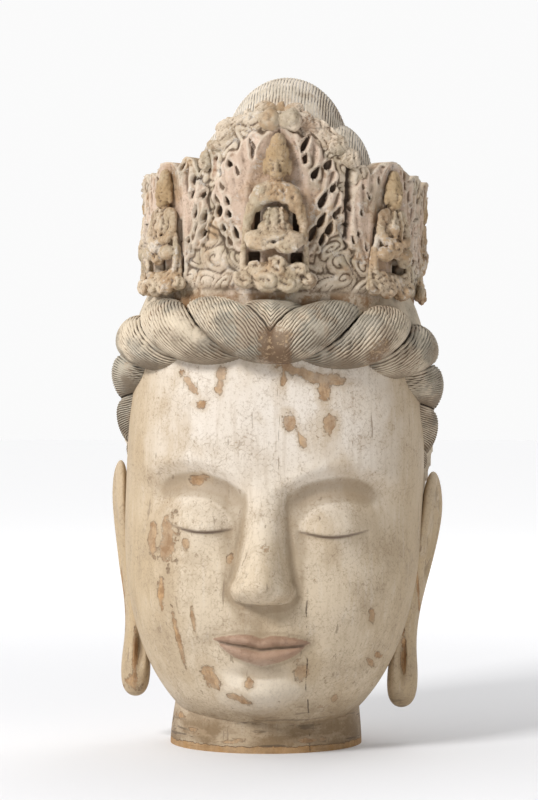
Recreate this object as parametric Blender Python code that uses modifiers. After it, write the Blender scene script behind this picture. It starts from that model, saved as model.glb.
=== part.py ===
"""Painted wooden head of a bodhisattva with a carved crown, on a neck cut flat below.

One carving, in metres, +Z up. The face looks along -Y, and the origin is the middle of the flat
underside of the neck. Every form is a sheet bent round and pushed into shape by a formula, or a
group of lumps, and a voxel remesh makes them one closed block, the way a carver leaves them.
"""

import math

import bmesh
import bpy
import numpy as np
from mathutils import Matrix

# Driving dimensions of the head
HEAD_WIDTH = 0.250
FACE_DEPTH = 0.118
SKULL_DEPTH = 0.116
EYE_LEVEL_Z = 0.200
CROWN_OF_SKULL_Z = 0.440
JAW_DROP = 0.202
NAPE_DROP = 0.118
CHIN_Z = 0.024
FACE_HEIGHT = 0.300
HEAD_ROLL_DEG = 2.0

# The neck
NECK_WIDTH = 0.161
NECK_DEPTH = 0.148
NECK_TOP_Z = 0.120

# The ears
EAR_TOP_Z = 0.232
EAR_BOTTOM_Z = 0.033
EAR_THICKNESS = 0.018
EAR_DEPTH = 0.063
LOBE_THICKNESS = 0.027
EAR_BACK_Y = 0.014

# The twisted roll of hair over the forehead
ROLL_PITCH = 0.047
ROLL_TWIST = 2.0
ROLL_DIP = 0.40
ROLL_LENGTH = 0.262
HAIR_THICKNESS = 0.0095

# The crown
CROWN_BASE_Z = 0.352
CROWN_PEAK_Z = 0.518
CROWN_SIDE_Z = 0.482
CROWN_DIP_Z = 0.464
CROWN_BACK_Z = 0.434
CROWN_BASE_RADIUS = 0.111
CROWN_RIM_RADIUS = 0.1155
CROWN_THICKNESS = 0.013
SIDE_PANEL_DEG = 50.0
FLANK_PANEL_DEG = 89.0
HUMP_DROP = 0.018
EDGE_HUMPS = (
    (-139, 0.446, 8), (-124, 0.456, 9), (-108, 0.467, 9), (-92, 0.474, 10), (-77, 0.473, 8),
    (-65, 0.472, 7), (-51.5, 0.479, 11), (-39, 0.482, 6), (34.5, 0.479, 5), (49.5, 0.484, 12.5),
    (68, 0.4765, 9), (83, 0.474, 8), (97, 0.472, 9), (112, 0.463, 9), (127, 0.454, 9),
    (141, 0.445, 8),
)

# The gathered hair inside the crown
KNOT_TOP_Z = 0.5604
KNOT_WIDTH = 0.107
KNOT_DEPTH = 0.126
KNOT_HEIGHT = 0.130
SIDE_LOOP_WIDTH = 0.074
SIDE_LOOP_TOP_Z = 0.524

# The seated figures of the crown
FIGURE_FOOT_Z = 0.373
CENTRE_FIGURE_HEIGHT = 0.123
SIDE_FIGURE_HEIGHT = 0.104
FLANK_FIGURE_HEIGHT = 0.096

# How finely the block is cut
VOXEL = 0.0021
TRIANGLES = 9800
FACE_CARE = 0.008
WOOD_GESSO = (0.62, 0.55, 0.46, 1.0)

FINGER = FACE_HEIGHT / 12
AXIS_Y = 0.003


def smooth_step(low, high, value):
    share = np.clip((value - low) / (high - low), 0.0, 1.0)
    return share * share * (3.0 - 2.0 * share)


def bump_at(value, middle, reach):
    """A bell of height 1 round a middle value."""
    return np.exp(-(((value - middle) / reach) ** 2))


def rounded_power(angle_part, power):
    """A sine or cosine raised so that a circle becomes a fuller, squarer round."""
    return np.sign(angle_part) * np.abs(angle_part) ** (2.0 / power)


def mouth_relief(a, k):
    """Lips of a closed, resting mouth in fingers. a is the distance from the middle, k the height."""
    line = k - (2.66 + 0.14 * (a / 1.5) ** 2 - 0.06 * bump_at(a, 0, 0.3))
    upper_height = 0.47 * np.clip(1 - (a / 1.62) ** 2, 0.01, 1) ** 0.8
    upper_height *= 1 - 0.14 * bump_at(a, 0, 0.22)
    lower_height = 0.60 * np.clip(1 - (a / 1.42) ** 2, 0.01, 1) ** 0.7
    upper = 0.20 * np.clip(1 - (2 * line / upper_height - 0.92) ** 2, 0, 1) ** 1.2
    lower = 0.25 * np.clip(1 - (-2 * line / lower_height - 0.92) ** 2, 0, 1) ** 1.2
    upper *= np.clip(1 - (a / 1.62) ** 4, 0, 1)
    lower *= np.clip(1 - (a / 1.42) ** 4, 0, 1)
    return upper + lower


def forehead_to_chin(side, height):
    """Relief of the face over the plain egg, in metres, from the canon of twelve fingers."""
    a = np.abs(side) / FINGER
    k = (height - CHIN_Z) / FINGER
    brow = 7.6 + 0.95 * np.sin(math.pi * np.clip((a - 0.1) / 4.9, 0, 1))
    below = brow - k
    inner = smooth_step(0.25, 1.35, a) * smooth_step(5.3, 2.9, a)
    socket = -0.46 * smooth_step(-0.15, 0.85, below) * smooth_step(3.1, 0.9, below) * inner
    lid = 0.50 * smooth_step(1.05, 0.15, np.hypot((a - 2.2) / 1.75, (k - 6.62) / 1.22))
    down = np.clip((8.6 - k) / (8.6 - 4.7), 0, 1)
    ridge = 1.29 * down**1.55
    under = np.clip(4.78 + 0.10 * a**2 - k, 0, None) / 0.76
    ridge *= np.sqrt(np.clip(1 - under**2, 0, 1))
    breadth = 0.66 + 0.36 * down**2
    bridge = ridge * np.clip(1 - (a / breadth) ** 2, 0, 1) ** 1.15
    wing = 0.62 * smooth_step(1.05, 0.15, np.hypot((a - 0.66) / 0.47, (k - 4.50) / 0.47))
    nose = (bridge**3 + wing**3) ** (1 / 3)
    muzzle = 0.24 * bump_at(a, 0, 1.9) * bump_at(k, 2.8, 1.35)
    under_lip = -0.17 * bump_at(a, 0, 1.25) * bump_at(k, 1.72, 0.34)
    chin = 0.74 * bump_at(a, 0, 1.45) * bump_at(k, 1.02, 0.90)
    cheek = 0.22 * bump_at(a, 2.7, 1.7) * bump_at(k, 4.0, 1.5)
    fingers = socket + lid + nose + muzzle + mouth_relief(a, k) + under_lip + chin + cheek
    return fingers * FINGER


def head_surface(turn, rise, swell=0.0):
    """Points of the head. turn is the bearing from the face's middle, rise runs from -1 to 1."""
    front = np.cos(turn)
    drop = NAPE_DROP + (JAW_DROP - NAPE_DROP) * smooth_step(-0.9, 0.2, front)
    fullness = np.where(rise > 0, 3.2, 2.4) + 0.7 * np.clip(front, 0, 1)
    fullness -= np.where(rise > 0, 0.5, 0.6) * np.clip(-front, 0, 1)
    spread = np.clip(1 - np.abs(rise) ** fullness, 0, 1) ** 0.5
    depth = np.where(front > 0, FACE_DEPTH, SKULL_DEPTH) + swell
    x = (HEAD_WIDTH / 2 + swell) * spread * rounded_power(np.sin(turn), 2.3)
    y = AXIS_Y - depth * spread * rounded_power(front, 2.3)
    reach = np.where(rise > 0, CROWN_OF_SKULL_Z - EYE_LEVEL_Z, drop) + swell
    z = EYE_LEVEL_Z + reach * rise
    return np.stack([x, y, z], axis=-1)


def carved_head(turn, tilt):
    """The flesh: columns crowd towards the face, where the carving is finest."""
    turn = turn - 0.55 * np.sin(turn)
    points = head_surface(turn, np.sin(tilt))
    facing = smooth_step(0.12, 0.5, np.cos(turn))
    points[:, 1] -= facing * forehead_to_chin(points[:, 0], points[:, 2])
    return points


def hair_edge(height):
    """How far forward the combed hair reaches: behind the ear, and under the roll above it."""
    levels = [0.10, 0.16, 0.215, 0.2595, 0.2955, 0.330, 0.345]
    return np.interp(height, levels, [0.064, 0.052, 0.036, 0.003, -0.015, -0.042, -0.085])


def back_hair(turn, tilt):
    """Hair over the back of the skull, combed up to the crown. It sinks into the flesh in front."""
    points = head_surface(turn, np.sin(tilt), HAIR_THICKNESS)
    covered = smooth_step(-0.004, 0.016, points[:, 1] - hair_edge(points[:, 2]))
    sunk = head_surface(turn, np.sin(tilt), -0.030)
    return sunk + (points - sunk) * covered[:, None]


def neck_form(turn, tilt):
    """A short round neck that widens slightly towards its cut."""
    height = np.sin(tilt) * NECK_TOP_Z
    widen = 1.0 - 0.05 * smooth_step(0.0, 0.05, height)
    spread = np.clip(np.cos(tilt) * 2.2, 0, 1) * widen
    x = NECK_WIDTH / 2 * spread * np.sin(turn)
    y = -NECK_DEPTH / 2 * spread * np.cos(turn)
    return np.stack([x, y, height], axis=-1)


def ear_form(turn, tilt, hand):
    """A long ear: a flat upper shell with a sunk hollow, a narrow waist and a blunt hanging lobe."""
    along = 0.5 - np.sin(tilt) / 2
    height = EAR_TOP_Z + (EAR_BOTTOM_Z - EAR_TOP_Z) * along
    shell = bump_at(along, 0.20, 0.26)
    lobe = bump_at(along, 0.90, 0.20)
    half_depth = 0.013 + (EAR_DEPTH / 2 - 0.013) * shell + 0.004 * lobe
    half_thick = EAR_THICKNESS / 2 + (LOBE_THICKNESS - EAR_THICKNESS) / 2 * lobe
    blunt = np.where(along > 0.5, 16, 6)
    round_end = np.sqrt(np.clip(1 - np.abs(2 * along - 1) ** blunt, 0, 1))
    centre_x = HEAD_WIDTH / 2 + 0.0084 - 0.020 * smooth_step(0.12, 0.80, along)
    centre_y = EAR_BACK_Y - 0.010 * smooth_step(0.1, 0.9, along)
    back = -np.cos(turn)
    outer = smooth_step(0.0, 0.6, np.sin(turn))
    dish = smooth_step(1.1, 0.6, np.hypot((back + 0.04) / 0.84, (along - 0.25) / 0.235))
    outward = half_thick * round_end * np.sin(turn) * hand * (1 - 0.75 * outer * dish)
    backward = half_depth * round_end * back
    x = hand * centre_x + outward + hand * 0.20 * backward
    return np.stack([x, centre_y + backward, height], axis=-1)


def roll_path(share):
    """Centre line and radius of the hair roll. share is 0 at the parting and 1 behind the ear."""
    stations = np.linspace(0.0, 1.0, 7)
    half = HEAD_WIDTH / 2
    x = np.array([0.0, 0.36, 0.70, 0.875, 0.925, 0.925, 0.90]) * half
    y = AXIS_Y - FACE_DEPTH * np.array([1.04, 0.96, 0.69, 0.38, 0.15, 0.00, -0.12])
    hairline = CHIN_Z + FACE_HEIGHT
    z = hairline + FACE_HEIGHT * np.array([0.060, 0.062, 0.054, 0.020, -0.095, -0.215, -0.330])
    radius = FINGER * np.array([1.00, 1.10, 1.20, 1.18, 0.95, 0.78, 0.62])
    eased = np.clip(np.abs(share), 0, 1)
    return [np.interp(eased, stations, values) for values in (x, y, z, radius)]


def smooth_roll_path(share):
    """The same line with its corners rounded, by averaging a short stretch of it."""
    window = np.linspace(-0.09, 0.09, 9)
    samples = [roll_path(share + offset) for offset in window]
    x, y, z, radius = (np.mean([s[i] for s in samples], axis=0) for i in range(4))
    signed = np.mean([np.sign(share + o) * roll_path(share + o)[0] for o in window], axis=0)
    return np.where(np.abs(share) < 0.12, signed, np.sign(share) * x), y, z, radius


def roll_form(turn, tilt):
    """Hair roll from ear to ear: a rope whose strands wind away from the parting on both sides."""
    turn = turn - 0.35 * np.sin(turn)
    share = np.clip(tilt / (math.pi / 2), -1, 1)
    x, y, z, radius = smooth_roll_path(share)
    step = 0.004
    ahead = np.stack(smooth_roll_path(share + step)[:3], axis=-1)
    behind = np.stack(smooth_roll_path(share - step)[:3], axis=-1)
    along = ahead - behind
    along /= np.linalg.norm(along, axis=1, keepdims=True)
    outward = np.stack([x, y - AXIS_Y, np.zeros_like(x)], axis=-1)
    outward -= along * np.sum(outward * along, axis=1, keepdims=True)
    outward /= np.linalg.norm(outward, axis=1, keepdims=True)
    upward = np.cross(outward, along)
    upward *= np.sign(upward[:, 2:3] + 1e-9)
    phase = np.abs(share) * ROLL_LENGTH / ROLL_PITCH - turn / (2 * math.pi) * ROLL_TWIST
    across = 2 * (phase - np.floor(phase)) - 1
    strand = np.sqrt(np.clip(1 - across**2, 0, 1))
    close = np.sqrt(np.clip(1 - share**16, 0, 1))
    dip = ROLL_DIP * (0.40 + 0.60 * smooth_step(0.02, 0.13, np.abs(share)))
    reach = radius * close * (1 - dip + dip * strand)
    middle = np.stack([x, y, z], axis=-1)
    return middle + reach[:, None] * (
        outward * np.cos(turn)[:, None] + upward * np.sin(turn)[:, None]
    )


def edge_humps(bearing):
    """The rounded humps along the crown's edge: their height, and how far inside one a point is."""
    turned = np.degrees((bearing + math.pi) % (2 * math.pi) - math.pi)
    edge = np.zeros_like(turned)
    inside = np.zeros_like(turned)
    for middle, top, half_width in EDGE_HUMPS:
        away = np.clip(np.abs(turned - middle) / half_width, 0, 1)
        rounded = (1 - away**2) ** 0.75
        hump = np.where(away < 1, top - HUMP_DROP * (1 - rounded), 0)
        inside = np.where(hump > edge, rounded, inside)
        edge = np.maximum(edge, hump)
    return edge, inside


def crown_top(bearing):
    """Height of the crown's edge: a tall front mound, rounded humps at the sides, a low back."""
    aside = np.degrees(np.abs((bearing + math.pi) % (2 * math.pi) - math.pi))
    low = smooth_step(150, 105, aside)
    rim = CROWN_BACK_Z + (CROWN_DIP_Z - 0.004 - CROWN_BACK_Z) * low
    mound = CROWN_PEAK_Z - (CROWN_PEAK_Z - CROWN_DIP_Z) * (aside / 34) ** 3.2
    return np.maximum(np.maximum(rim, mound), edge_humps(bearing)[0])


def crown_radius(height):
    share = (height - CROWN_BASE_Z) / (CROWN_SIDE_Z - CROWN_BASE_Z)
    return CROWN_BASE_RADIUS + (CROWN_RIM_RADIUS - CROWN_BASE_RADIUS) * np.clip(share, 0, 1)


def niche_edge(up, tall):
    """Half width of the pointed frame round a figure at a height above its foot."""
    share = np.clip((up / tall - 0.50) / 0.58, 0, 1)
    return 0.21 * tall * np.clip(1 - share**2, 0, 1) ** 0.62


def crown_relief(bearing, height):
    """Low relief of the crown: haloes, the frames inside them, and a cleft beside the mound."""
    turned = (bearing + math.pi) % (2 * math.pi) - math.pi
    across = turned * CROWN_RIM_RADIUS
    up = height - FIGURE_FOOT_Z
    visible = smooth_step(125, 105, np.degrees(np.abs(turned))) * smooth_step(0.002, 0.008, up)
    waves = np.sin(2 * math.pi * across / 0.021) * np.sin(2 * math.pi * up / 0.019 + 1.0)
    relief = (0.0018 + 0.0014 * waves) * visible
    middle = (0.0, CENTRE_FIGURE_HEIGHT)
    side = (SIDE_PANEL_DEG, SIDE_FIGURE_HEIGHT)
    flank = (FLANK_PANEL_DEG, FLANK_FIGURE_HEIGHT)
    for degrees, tall in (middle, side, flank):
        spot = np.abs(across) - math.radians(degrees) * CROWN_RIM_RADIUS
        high = (up - 0.56 * tall) / np.where(up > 0.56 * tall, 0.50 * tall, 0.36 * tall)
        halo = smooth_step(1.03, 0.98, np.hypot(spot / (0.43 * tall), high))
        relief = relief * (1 - halo) + 0.0045 * halo
        edge = niche_edge(up, tall) - np.abs(spot)
        niche = smooth_step(0.0, 0.008, edge) * smooth_step(-0.004, 0.002, up)
        out = np.abs(spot) / tall
        pit = smooth_step(0.05, 0.08, out) * smooth_step(0.19, 0.165, out)
        pit *= smooth_step(0.16, 0.19, up / tall) * smooth_step(0.31, 0.27, up / tall)
        relief -= niche * (0.0030 + 0.0060 * pit)
    cleft = bump_at(np.abs(np.degrees(turned)), 29.0, 1.6) * smooth_step(0.034, 0.05, up)
    return relief - 0.0050 * cleft


def crown_point(bearing, height, out):
    """A point of the crown's outer face, out metres proud of it."""
    reach = crown_radius(height) + out
    x = reach * np.sin(bearing)
    y = AXIS_Y - reach * np.cos(bearing)
    return np.stack([x, y, height + 0 * x], axis=-1)


def crown_wall(bearing, around):
    """The crown's band, once round its section: outer face, edge, inner face and foot."""
    bearing = bearing - 0.3 * np.sin(bearing)
    share = around / math.pi + 0.5
    up = np.interp(share, [0.0, 0.70, 0.76, 0.94, 1.0], [0.0, 1.0, 1.0, 0.0, 0.0])
    inward = np.interp(share, [0.0, 0.70, 0.76, 0.94, 1.0], [0.0, 0.0, 1.0, 1.0, 0.0])
    top = crown_top(bearing)
    height = CROWN_BASE_Z + (top - CROWN_BASE_Z) * up
    proud = crown_relief(bearing, height)
    proud += 0.0040 * edge_humps(bearing)[1] * smooth_step(0.020, 0.006, top - height)
    proud *= (1 - inward) * smooth_step(0.0, 0.02, share)
    return crown_point(bearing, height, proud - inward * CROWN_THICKNESS)


def new_object(name, mesh):
    obj = bpy.data.objects.new(name, mesh)
    bpy.context.scene.collection.objects.link(obj)
    return obj


def mesh_from(bm, name):
    mesh = bpy.data.meshes.new(name)
    bm.to_mesh(mesh)
    bm.free()
    return mesh


def reshape(mesh, points):
    mesh.vertices.foreach_set("co", np.asarray(points, np.float32).ravel())
    mesh.update()
    return mesh


def points_of(mesh):
    co = np.empty(len(mesh.vertices) * 3, np.float32)
    mesh.vertices.foreach_get("co", co)
    return co.reshape(-1, 3).astype(float)


def from_sheet(name, columns, rows, form, *options):
    """A grid bent into a closed form, which gets each point's bearing and tilt. Its seams weld."""
    bm = bmesh.new()
    bmesh.ops.create_grid(bm, x_segments=columns, y_segments=rows, size=1.0)
    mesh = mesh_from(bm, name)
    turn, tilt, _ = (points_of(mesh) * math.pi).T
    reshape(mesh, form(turn, tilt / 2, *options))
    bm = bmesh.new()
    bm.from_mesh(mesh)
    bmesh.ops.remove_doubles(bm, verts=bm.verts, dist=1e-6)
    bmesh.ops.recalc_face_normals(bm, faces=bm.faces)
    return new_object(name, mesh_from(bm, name))


def from_lumps(name, lumps):
    """Overlapping ellipsoids in one object. A lump is its axes' matrix, its centre and its radii."""
    bm = bmesh.new()
    bmesh.ops.create_uvsphere(bm, u_segments=20, v_segments=14, radius=1.0)
    unit = np.array([vert.co for vert in bm.verts])
    faces = [[vert.index for vert in face.verts] for face in bm.faces]
    bm.free()
    points = []
    for place, centre, radii in lumps:
        turned = (unit * radii + centre) @ np.array(place.to_3x3()).T
        points.append(turned + np.array(place.translation))
    shells = [[i + len(unit) * n for i in face] for n in range(len(points)) for face in faces]
    mesh = bpy.data.meshes.new(name)
    mesh.from_pydata(np.concatenate(points), [], shells)
    return new_object(name, mesh)


def panel_place(bearing_deg, foot_z):
    """Axes of a crown panel: X across, Y outwards, Z up, with its origin on the wall's face."""
    bearing = math.radians(bearing_deg)
    foot = crown_point(np.array(bearing), np.array(foot_z), 0.0)
    return Matrix.Translation([float(v) for v in foot]) @ Matrix.Rotation(
        bearing + math.pi, 4, "Z"
    )


def seated_figure(bearing_deg, tall, proud_share):
    """Lumps of a small figure seated on clouds, under a mantle that hangs clear of its body."""
    place = panel_place(bearing_deg, FIGURE_FOOT_Z)
    sizes = np.array([1.0, proud_share, 1.0]) * tall / 126
    lumps = []

    def lump(across, out, up, *radii):
        lumps.append((place, np.array([across, out, up]) * sizes, np.array(radii) * sizes))

    seat = ((-27, 8, 12, 9), (-13, 14, 8, 10.5), (6, 16, 8, 10.5), (24, 11, 10, 10))
    for across, out, up, size in (*seat, (-20, 11, 19, 7), (-3, 15, 18, 7.5), (14, 13, 19, 7.5)):
        lump(across, out, up, 1.2 * size, size, 0.9 * size)
    lump(0, 7, 14, 28, 11, 12)
    lump(0, 15, 46, 22, 9, 6.5)
    middle_of_head = 108 if bearing_deg == 0 else 104
    if bearing_deg == 0:
        lump(0, 22, 40, 14, 6, 7)
        lump(0, 10, 60, 12, 8, 17)
        lump(0, 14, 80, 16, 9, 10)
    else:
        lump(0, 18, 43, 12, 11, 9.5)
        lump(0, 11, 69, 14, 9, 17)
        lump(0, 17, 62, 14, 8, 8)
    for hand in (-1, 1):
        lump(hand * 14, 17, 43, 11, 9.5, 8)
        lump(hand * 12, 13, 77, 10, 9, 10)
        for share in np.linspace(0, 1, 8):
            lump(hand * 20.5, 14, 70 - 26 * share, 4.4, 4.6, 4.4)
    lump(0, 12, middle_of_head - 18, 6.5, 6.5, 6)
    lump(0, 13, middle_of_head, 9.8, 10.2, 17.5)
    lump(0, 14, middle_of_head - 5, 8, 10, 9)
    return lumps


def crown_figures():
    """The five seated figures, and the bank of cloud curls along the front mound's edge."""
    lumps = seated_figure(0, CENTRE_FIGURE_HEIGHT, 1.0)
    for hand in (-1, 1):
        lumps += seated_figure(hand * SIDE_PANEL_DEG, SIDE_FIGURE_HEIGHT, 0.85)
        lumps += seated_figure(hand * FLANK_PANEL_DEG, FLANK_FIGURE_HEIGHT, 0.5)
    left_crest = ((-3.9, 10), (-9.5, 7), (-15, 7), (-20.5, 7.5), (-26, 8), (-31, 8))
    right_crest = ((4.3, 10), (10.5, 7), (16, 7), (21.5, 7), (26.5, 8))
    for degrees, size in left_crest + right_crest:
        lumps.append(crest_lump(degrees, size))
    return from_lumps("crown_figures", lumps)


def crest_lump(degrees, size):
    spot = panel_place(degrees, float(crown_top(np.radians(degrees))) - size / 1000)
    return spot, np.array([0, 0.002, 0]), np.array([size, size, size]) / 1000


def gathered_hair():
    """The hair that rises inside the crown: a dome, a loop on each side and the tall knot."""
    upright = Matrix.Identity(4)
    loop_half = SIDE_LOOP_WIDTH / 2
    loop_z = SIDE_LOOP_TOP_Z - 0.052
    skull_round = np.array([CROWN_BASE_RADIUS, CROWN_BASE_RADIUS, 0.128])
    loop = np.array([loop_half, 0.060, 0.052])
    knot = np.array([KNOT_WIDTH / 2, KNOT_DEPTH / 2, KNOT_HEIGHT / 2])
    lumps = [
        (upright, np.array([0, AXIS_Y, CROWN_BASE_Z]), skull_round),
        (upright, np.array([-loop_half, AXIS_Y, loop_z]), loop),
        (upright, np.array([loop_half, AXIS_Y, loop_z]), loop),
        (upright, np.array([0, AXIS_Y, KNOT_TOP_Z - KNOT_HEIGHT / 2]), knot),
    ]
    return from_lumps("gathered_hair", lumps)


def joined(parts, name):
    """One object that holds every form's mesh, still as overlapping closed shells."""
    bm = bmesh.new()
    for part in parts:
        bm.from_mesh(part.data)
        bpy.data.objects.remove(part)
    return new_object(name, mesh_from(bm, name))


def painted_wood():
    material = bpy.data.materials.new("painted_wood")
    material.use_nodes = True
    shader = material.node_tree.nodes["Principled BSDF"]
    shader.inputs["Base Color"].default_value = WOOD_GESSO
    shader.inputs["Roughness"].default_value = 0.8
    shader.inputs["Metallic"].default_value = 0.0
    return material


def floor_cutter():
    """A slab whose top is the level of the neck's sawn underside."""
    bpy.ops.mesh.primitive_cube_add(size=1.0)
    cutter = bpy.context.object
    cutter.name = "floor_cutter"
    reshape(cutter.data, points_of(cutter.data) * [0.6, 0.6, 0.2] - [0, 0, 0.1])
    cutter.hide_render = True
    cutter.display_type = "WIRE"
    return cutter


def mark_plain_places(head):
    """Weights where large facets do no harm: all of the wood but the face and the ears."""
    x, y, z = points_of(head.data).T
    near = np.hypot(x / (4.6 * FINGER), (z - CHIN_Z - 4.3 * FINGER) / (4.6 * FINGER))
    face = smooth_step(1.15, 0.85, near) * (y < -0.05)
    ears = (np.abs(x) > 0.112) * (z > EAR_BOTTOM_Z - 0.01) * (z < EAR_TOP_Z)
    fine = np.maximum(face, 0.6 * ears)
    plain = head.vertex_groups.new(name="plain")
    for level in range(1, 11):
        chosen = np.flatnonzero(np.round(10 - 9 * fine) == level)
        plain.add(chosen.tolist(), level / 10, "REPLACE")


def carve():
    for obj in list(bpy.data.objects):
        bpy.data.objects.remove(obj)
    forms = [
        from_sheet("flesh", 320, 240, carved_head),
        from_sheet("back_hair", 160, 120, back_hair),
        from_sheet("neck", 96, 48, neck_form),
        from_sheet("left_ear", 60, 80, ear_form, -1),
        from_sheet("right_ear", 60, 80, ear_form, 1),
        from_sheet("hair_roll", 72, 420, roll_form),
        from_sheet("crown_wall", 400, 90, crown_wall),
        crown_figures(),
        gathered_hair(),
    ]
    head = joined(forms, "bodhisattva_head")
    head.rotation_euler[1] = math.radians(HEAD_ROLL_DEG)
    head.data.materials.append(painted_wood())

    block = head.modifiers.new("one block", "REMESH")
    block.mode = "VOXEL"
    block.voxel_size = VOXEL
    sanded = head.modifiers.new("sanded", "SMOOTH")
    sanded.factor = 0.5
    sanded.iterations = 3
    bpy.context.view_layer.update()
    graph = bpy.context.evaluated_depsgraph_get()
    head.data = bpy.data.meshes.new_from_object(head.evaluated_get(graph))
    head.modifiers.clear()
    mark_plain_places(head)
    coarse = head.modifiers.new("facets", "DECIMATE")
    coarse.ratio = TRIANGLES / (2 * len(head.data.polygons))
    coarse.vertex_group = "plain"
    coarse.vertex_group_factor = FACE_CARE
    base = head.modifiers.new("sawn base", "BOOLEAN")
    base.operation = "DIFFERENCE"
    base.object = floor_cutter()

    home = bpy.data.collections.new("bodhisattva head")
    tools = bpy.data.collections.new("cutters")
    for collection, obj in ((home, head), (tools, base.object)):
        bpy.context.scene.collection.children.link(collection)
        for other in list(obj.users_collection):
            other.objects.unlink(obj)
        collection.objects.link(obj)


carve()
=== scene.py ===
import math

import bmesh
import bpy
import numpy as np
from mathutils import Matrix, Vector


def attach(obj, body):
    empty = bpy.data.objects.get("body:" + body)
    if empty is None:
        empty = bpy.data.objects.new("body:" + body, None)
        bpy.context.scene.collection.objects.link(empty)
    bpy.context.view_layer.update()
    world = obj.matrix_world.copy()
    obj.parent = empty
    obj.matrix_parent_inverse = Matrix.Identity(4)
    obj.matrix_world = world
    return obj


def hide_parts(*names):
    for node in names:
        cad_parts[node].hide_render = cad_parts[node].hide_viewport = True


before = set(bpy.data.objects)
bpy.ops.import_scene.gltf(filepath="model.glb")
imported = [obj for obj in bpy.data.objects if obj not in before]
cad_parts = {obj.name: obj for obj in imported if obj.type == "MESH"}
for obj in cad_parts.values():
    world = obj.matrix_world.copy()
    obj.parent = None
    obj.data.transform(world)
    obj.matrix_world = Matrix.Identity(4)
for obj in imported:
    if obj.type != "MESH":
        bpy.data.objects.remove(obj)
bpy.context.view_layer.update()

# The face and neck
# The front of the head from the hair to the neck's cut: solid carved wood, smoothed with a ground of
# clay and glue, and painted cream. The paint has lifted in long flakes and shows bare wood there.
HEAD_WIDTH = 0.250
FACE_DEPTH = 0.118
SKULL_DEPTH = 0.116
EYE_LEVEL_Z = 0.200
CROWN_OF_SKULL_Z = 0.440
JAW_DROP = 0.202
NAPE_DROP = 0.118
CHIN_Z = 0.024
FACE_HEIGHT = 0.300
HEAD_ROLL_DEG = 2.0
FINGER = FACE_HEIGHT / 12
AXIS_Y = 0.003
NECK_WIDTH = 0.161
NECK_DEPTH = 0.148
NECK_TOP_Z = 0.120
HAIRLINE_RISE = 0.62
NECK_CUT_CLEAR = 0.004


def smooth_step(low, high, value):
    share = np.clip((value - low) / (high - low), 0.0, 1.0)
    return share * share * (3.0 - 2.0 * share)


def bump_at(value, middle, reach):
    """A bell of height 1 round a middle value."""
    return np.exp(-(((value - middle) / reach) ** 2))


def rounded_power(angle_part, power):
    """A sine or cosine raised so that a circle becomes a fuller, squarer round."""
    return np.sign(angle_part) * np.abs(angle_part) ** (2.0 / power)


def mouth_line(a, k):
    """Height over the line where the lips meet, in fingers."""
    return k - (2.66 + 0.14 * (a / 1.5) ** 2 - 0.06 * bump_at(a, 0, 0.3))


def mouth_relief(a, k):
    """Lips of a closed, resting mouth in fingers. a is the distance from the middle, k the height."""
    line = mouth_line(a, k)
    upper_height = 0.47 * np.clip(1 - (a / 1.62) ** 2, 0.01, 1) ** 0.8
    upper_height *= 1 - 0.14 * bump_at(a, 0, 0.22)
    lower_height = 0.60 * np.clip(1 - (a / 1.42) ** 2, 0.01, 1) ** 0.7
    upper = 0.20 * np.clip(1 - (2 * line / upper_height - 0.92) ** 2, 0, 1) ** 1.2
    lower = 0.25 * np.clip(1 - (-2 * line / lower_height - 0.92) ** 2, 0, 1) ** 1.2
    upper *= np.clip(1 - (a / 1.62) ** 4, 0, 1)
    lower *= np.clip(1 - (a / 1.42) ** 4, 0, 1)
    return upper + lower


def lid_line(a, k):
    """How far along the closed lids a point lies, 0 to 1, and its height over their meeting line."""
    run = np.clip((a - 1.0) / 2.35, 0, 1)
    return run, k - (6.42 - 0.20 * np.sin(math.pi * run) + 0.10 * run)


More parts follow.
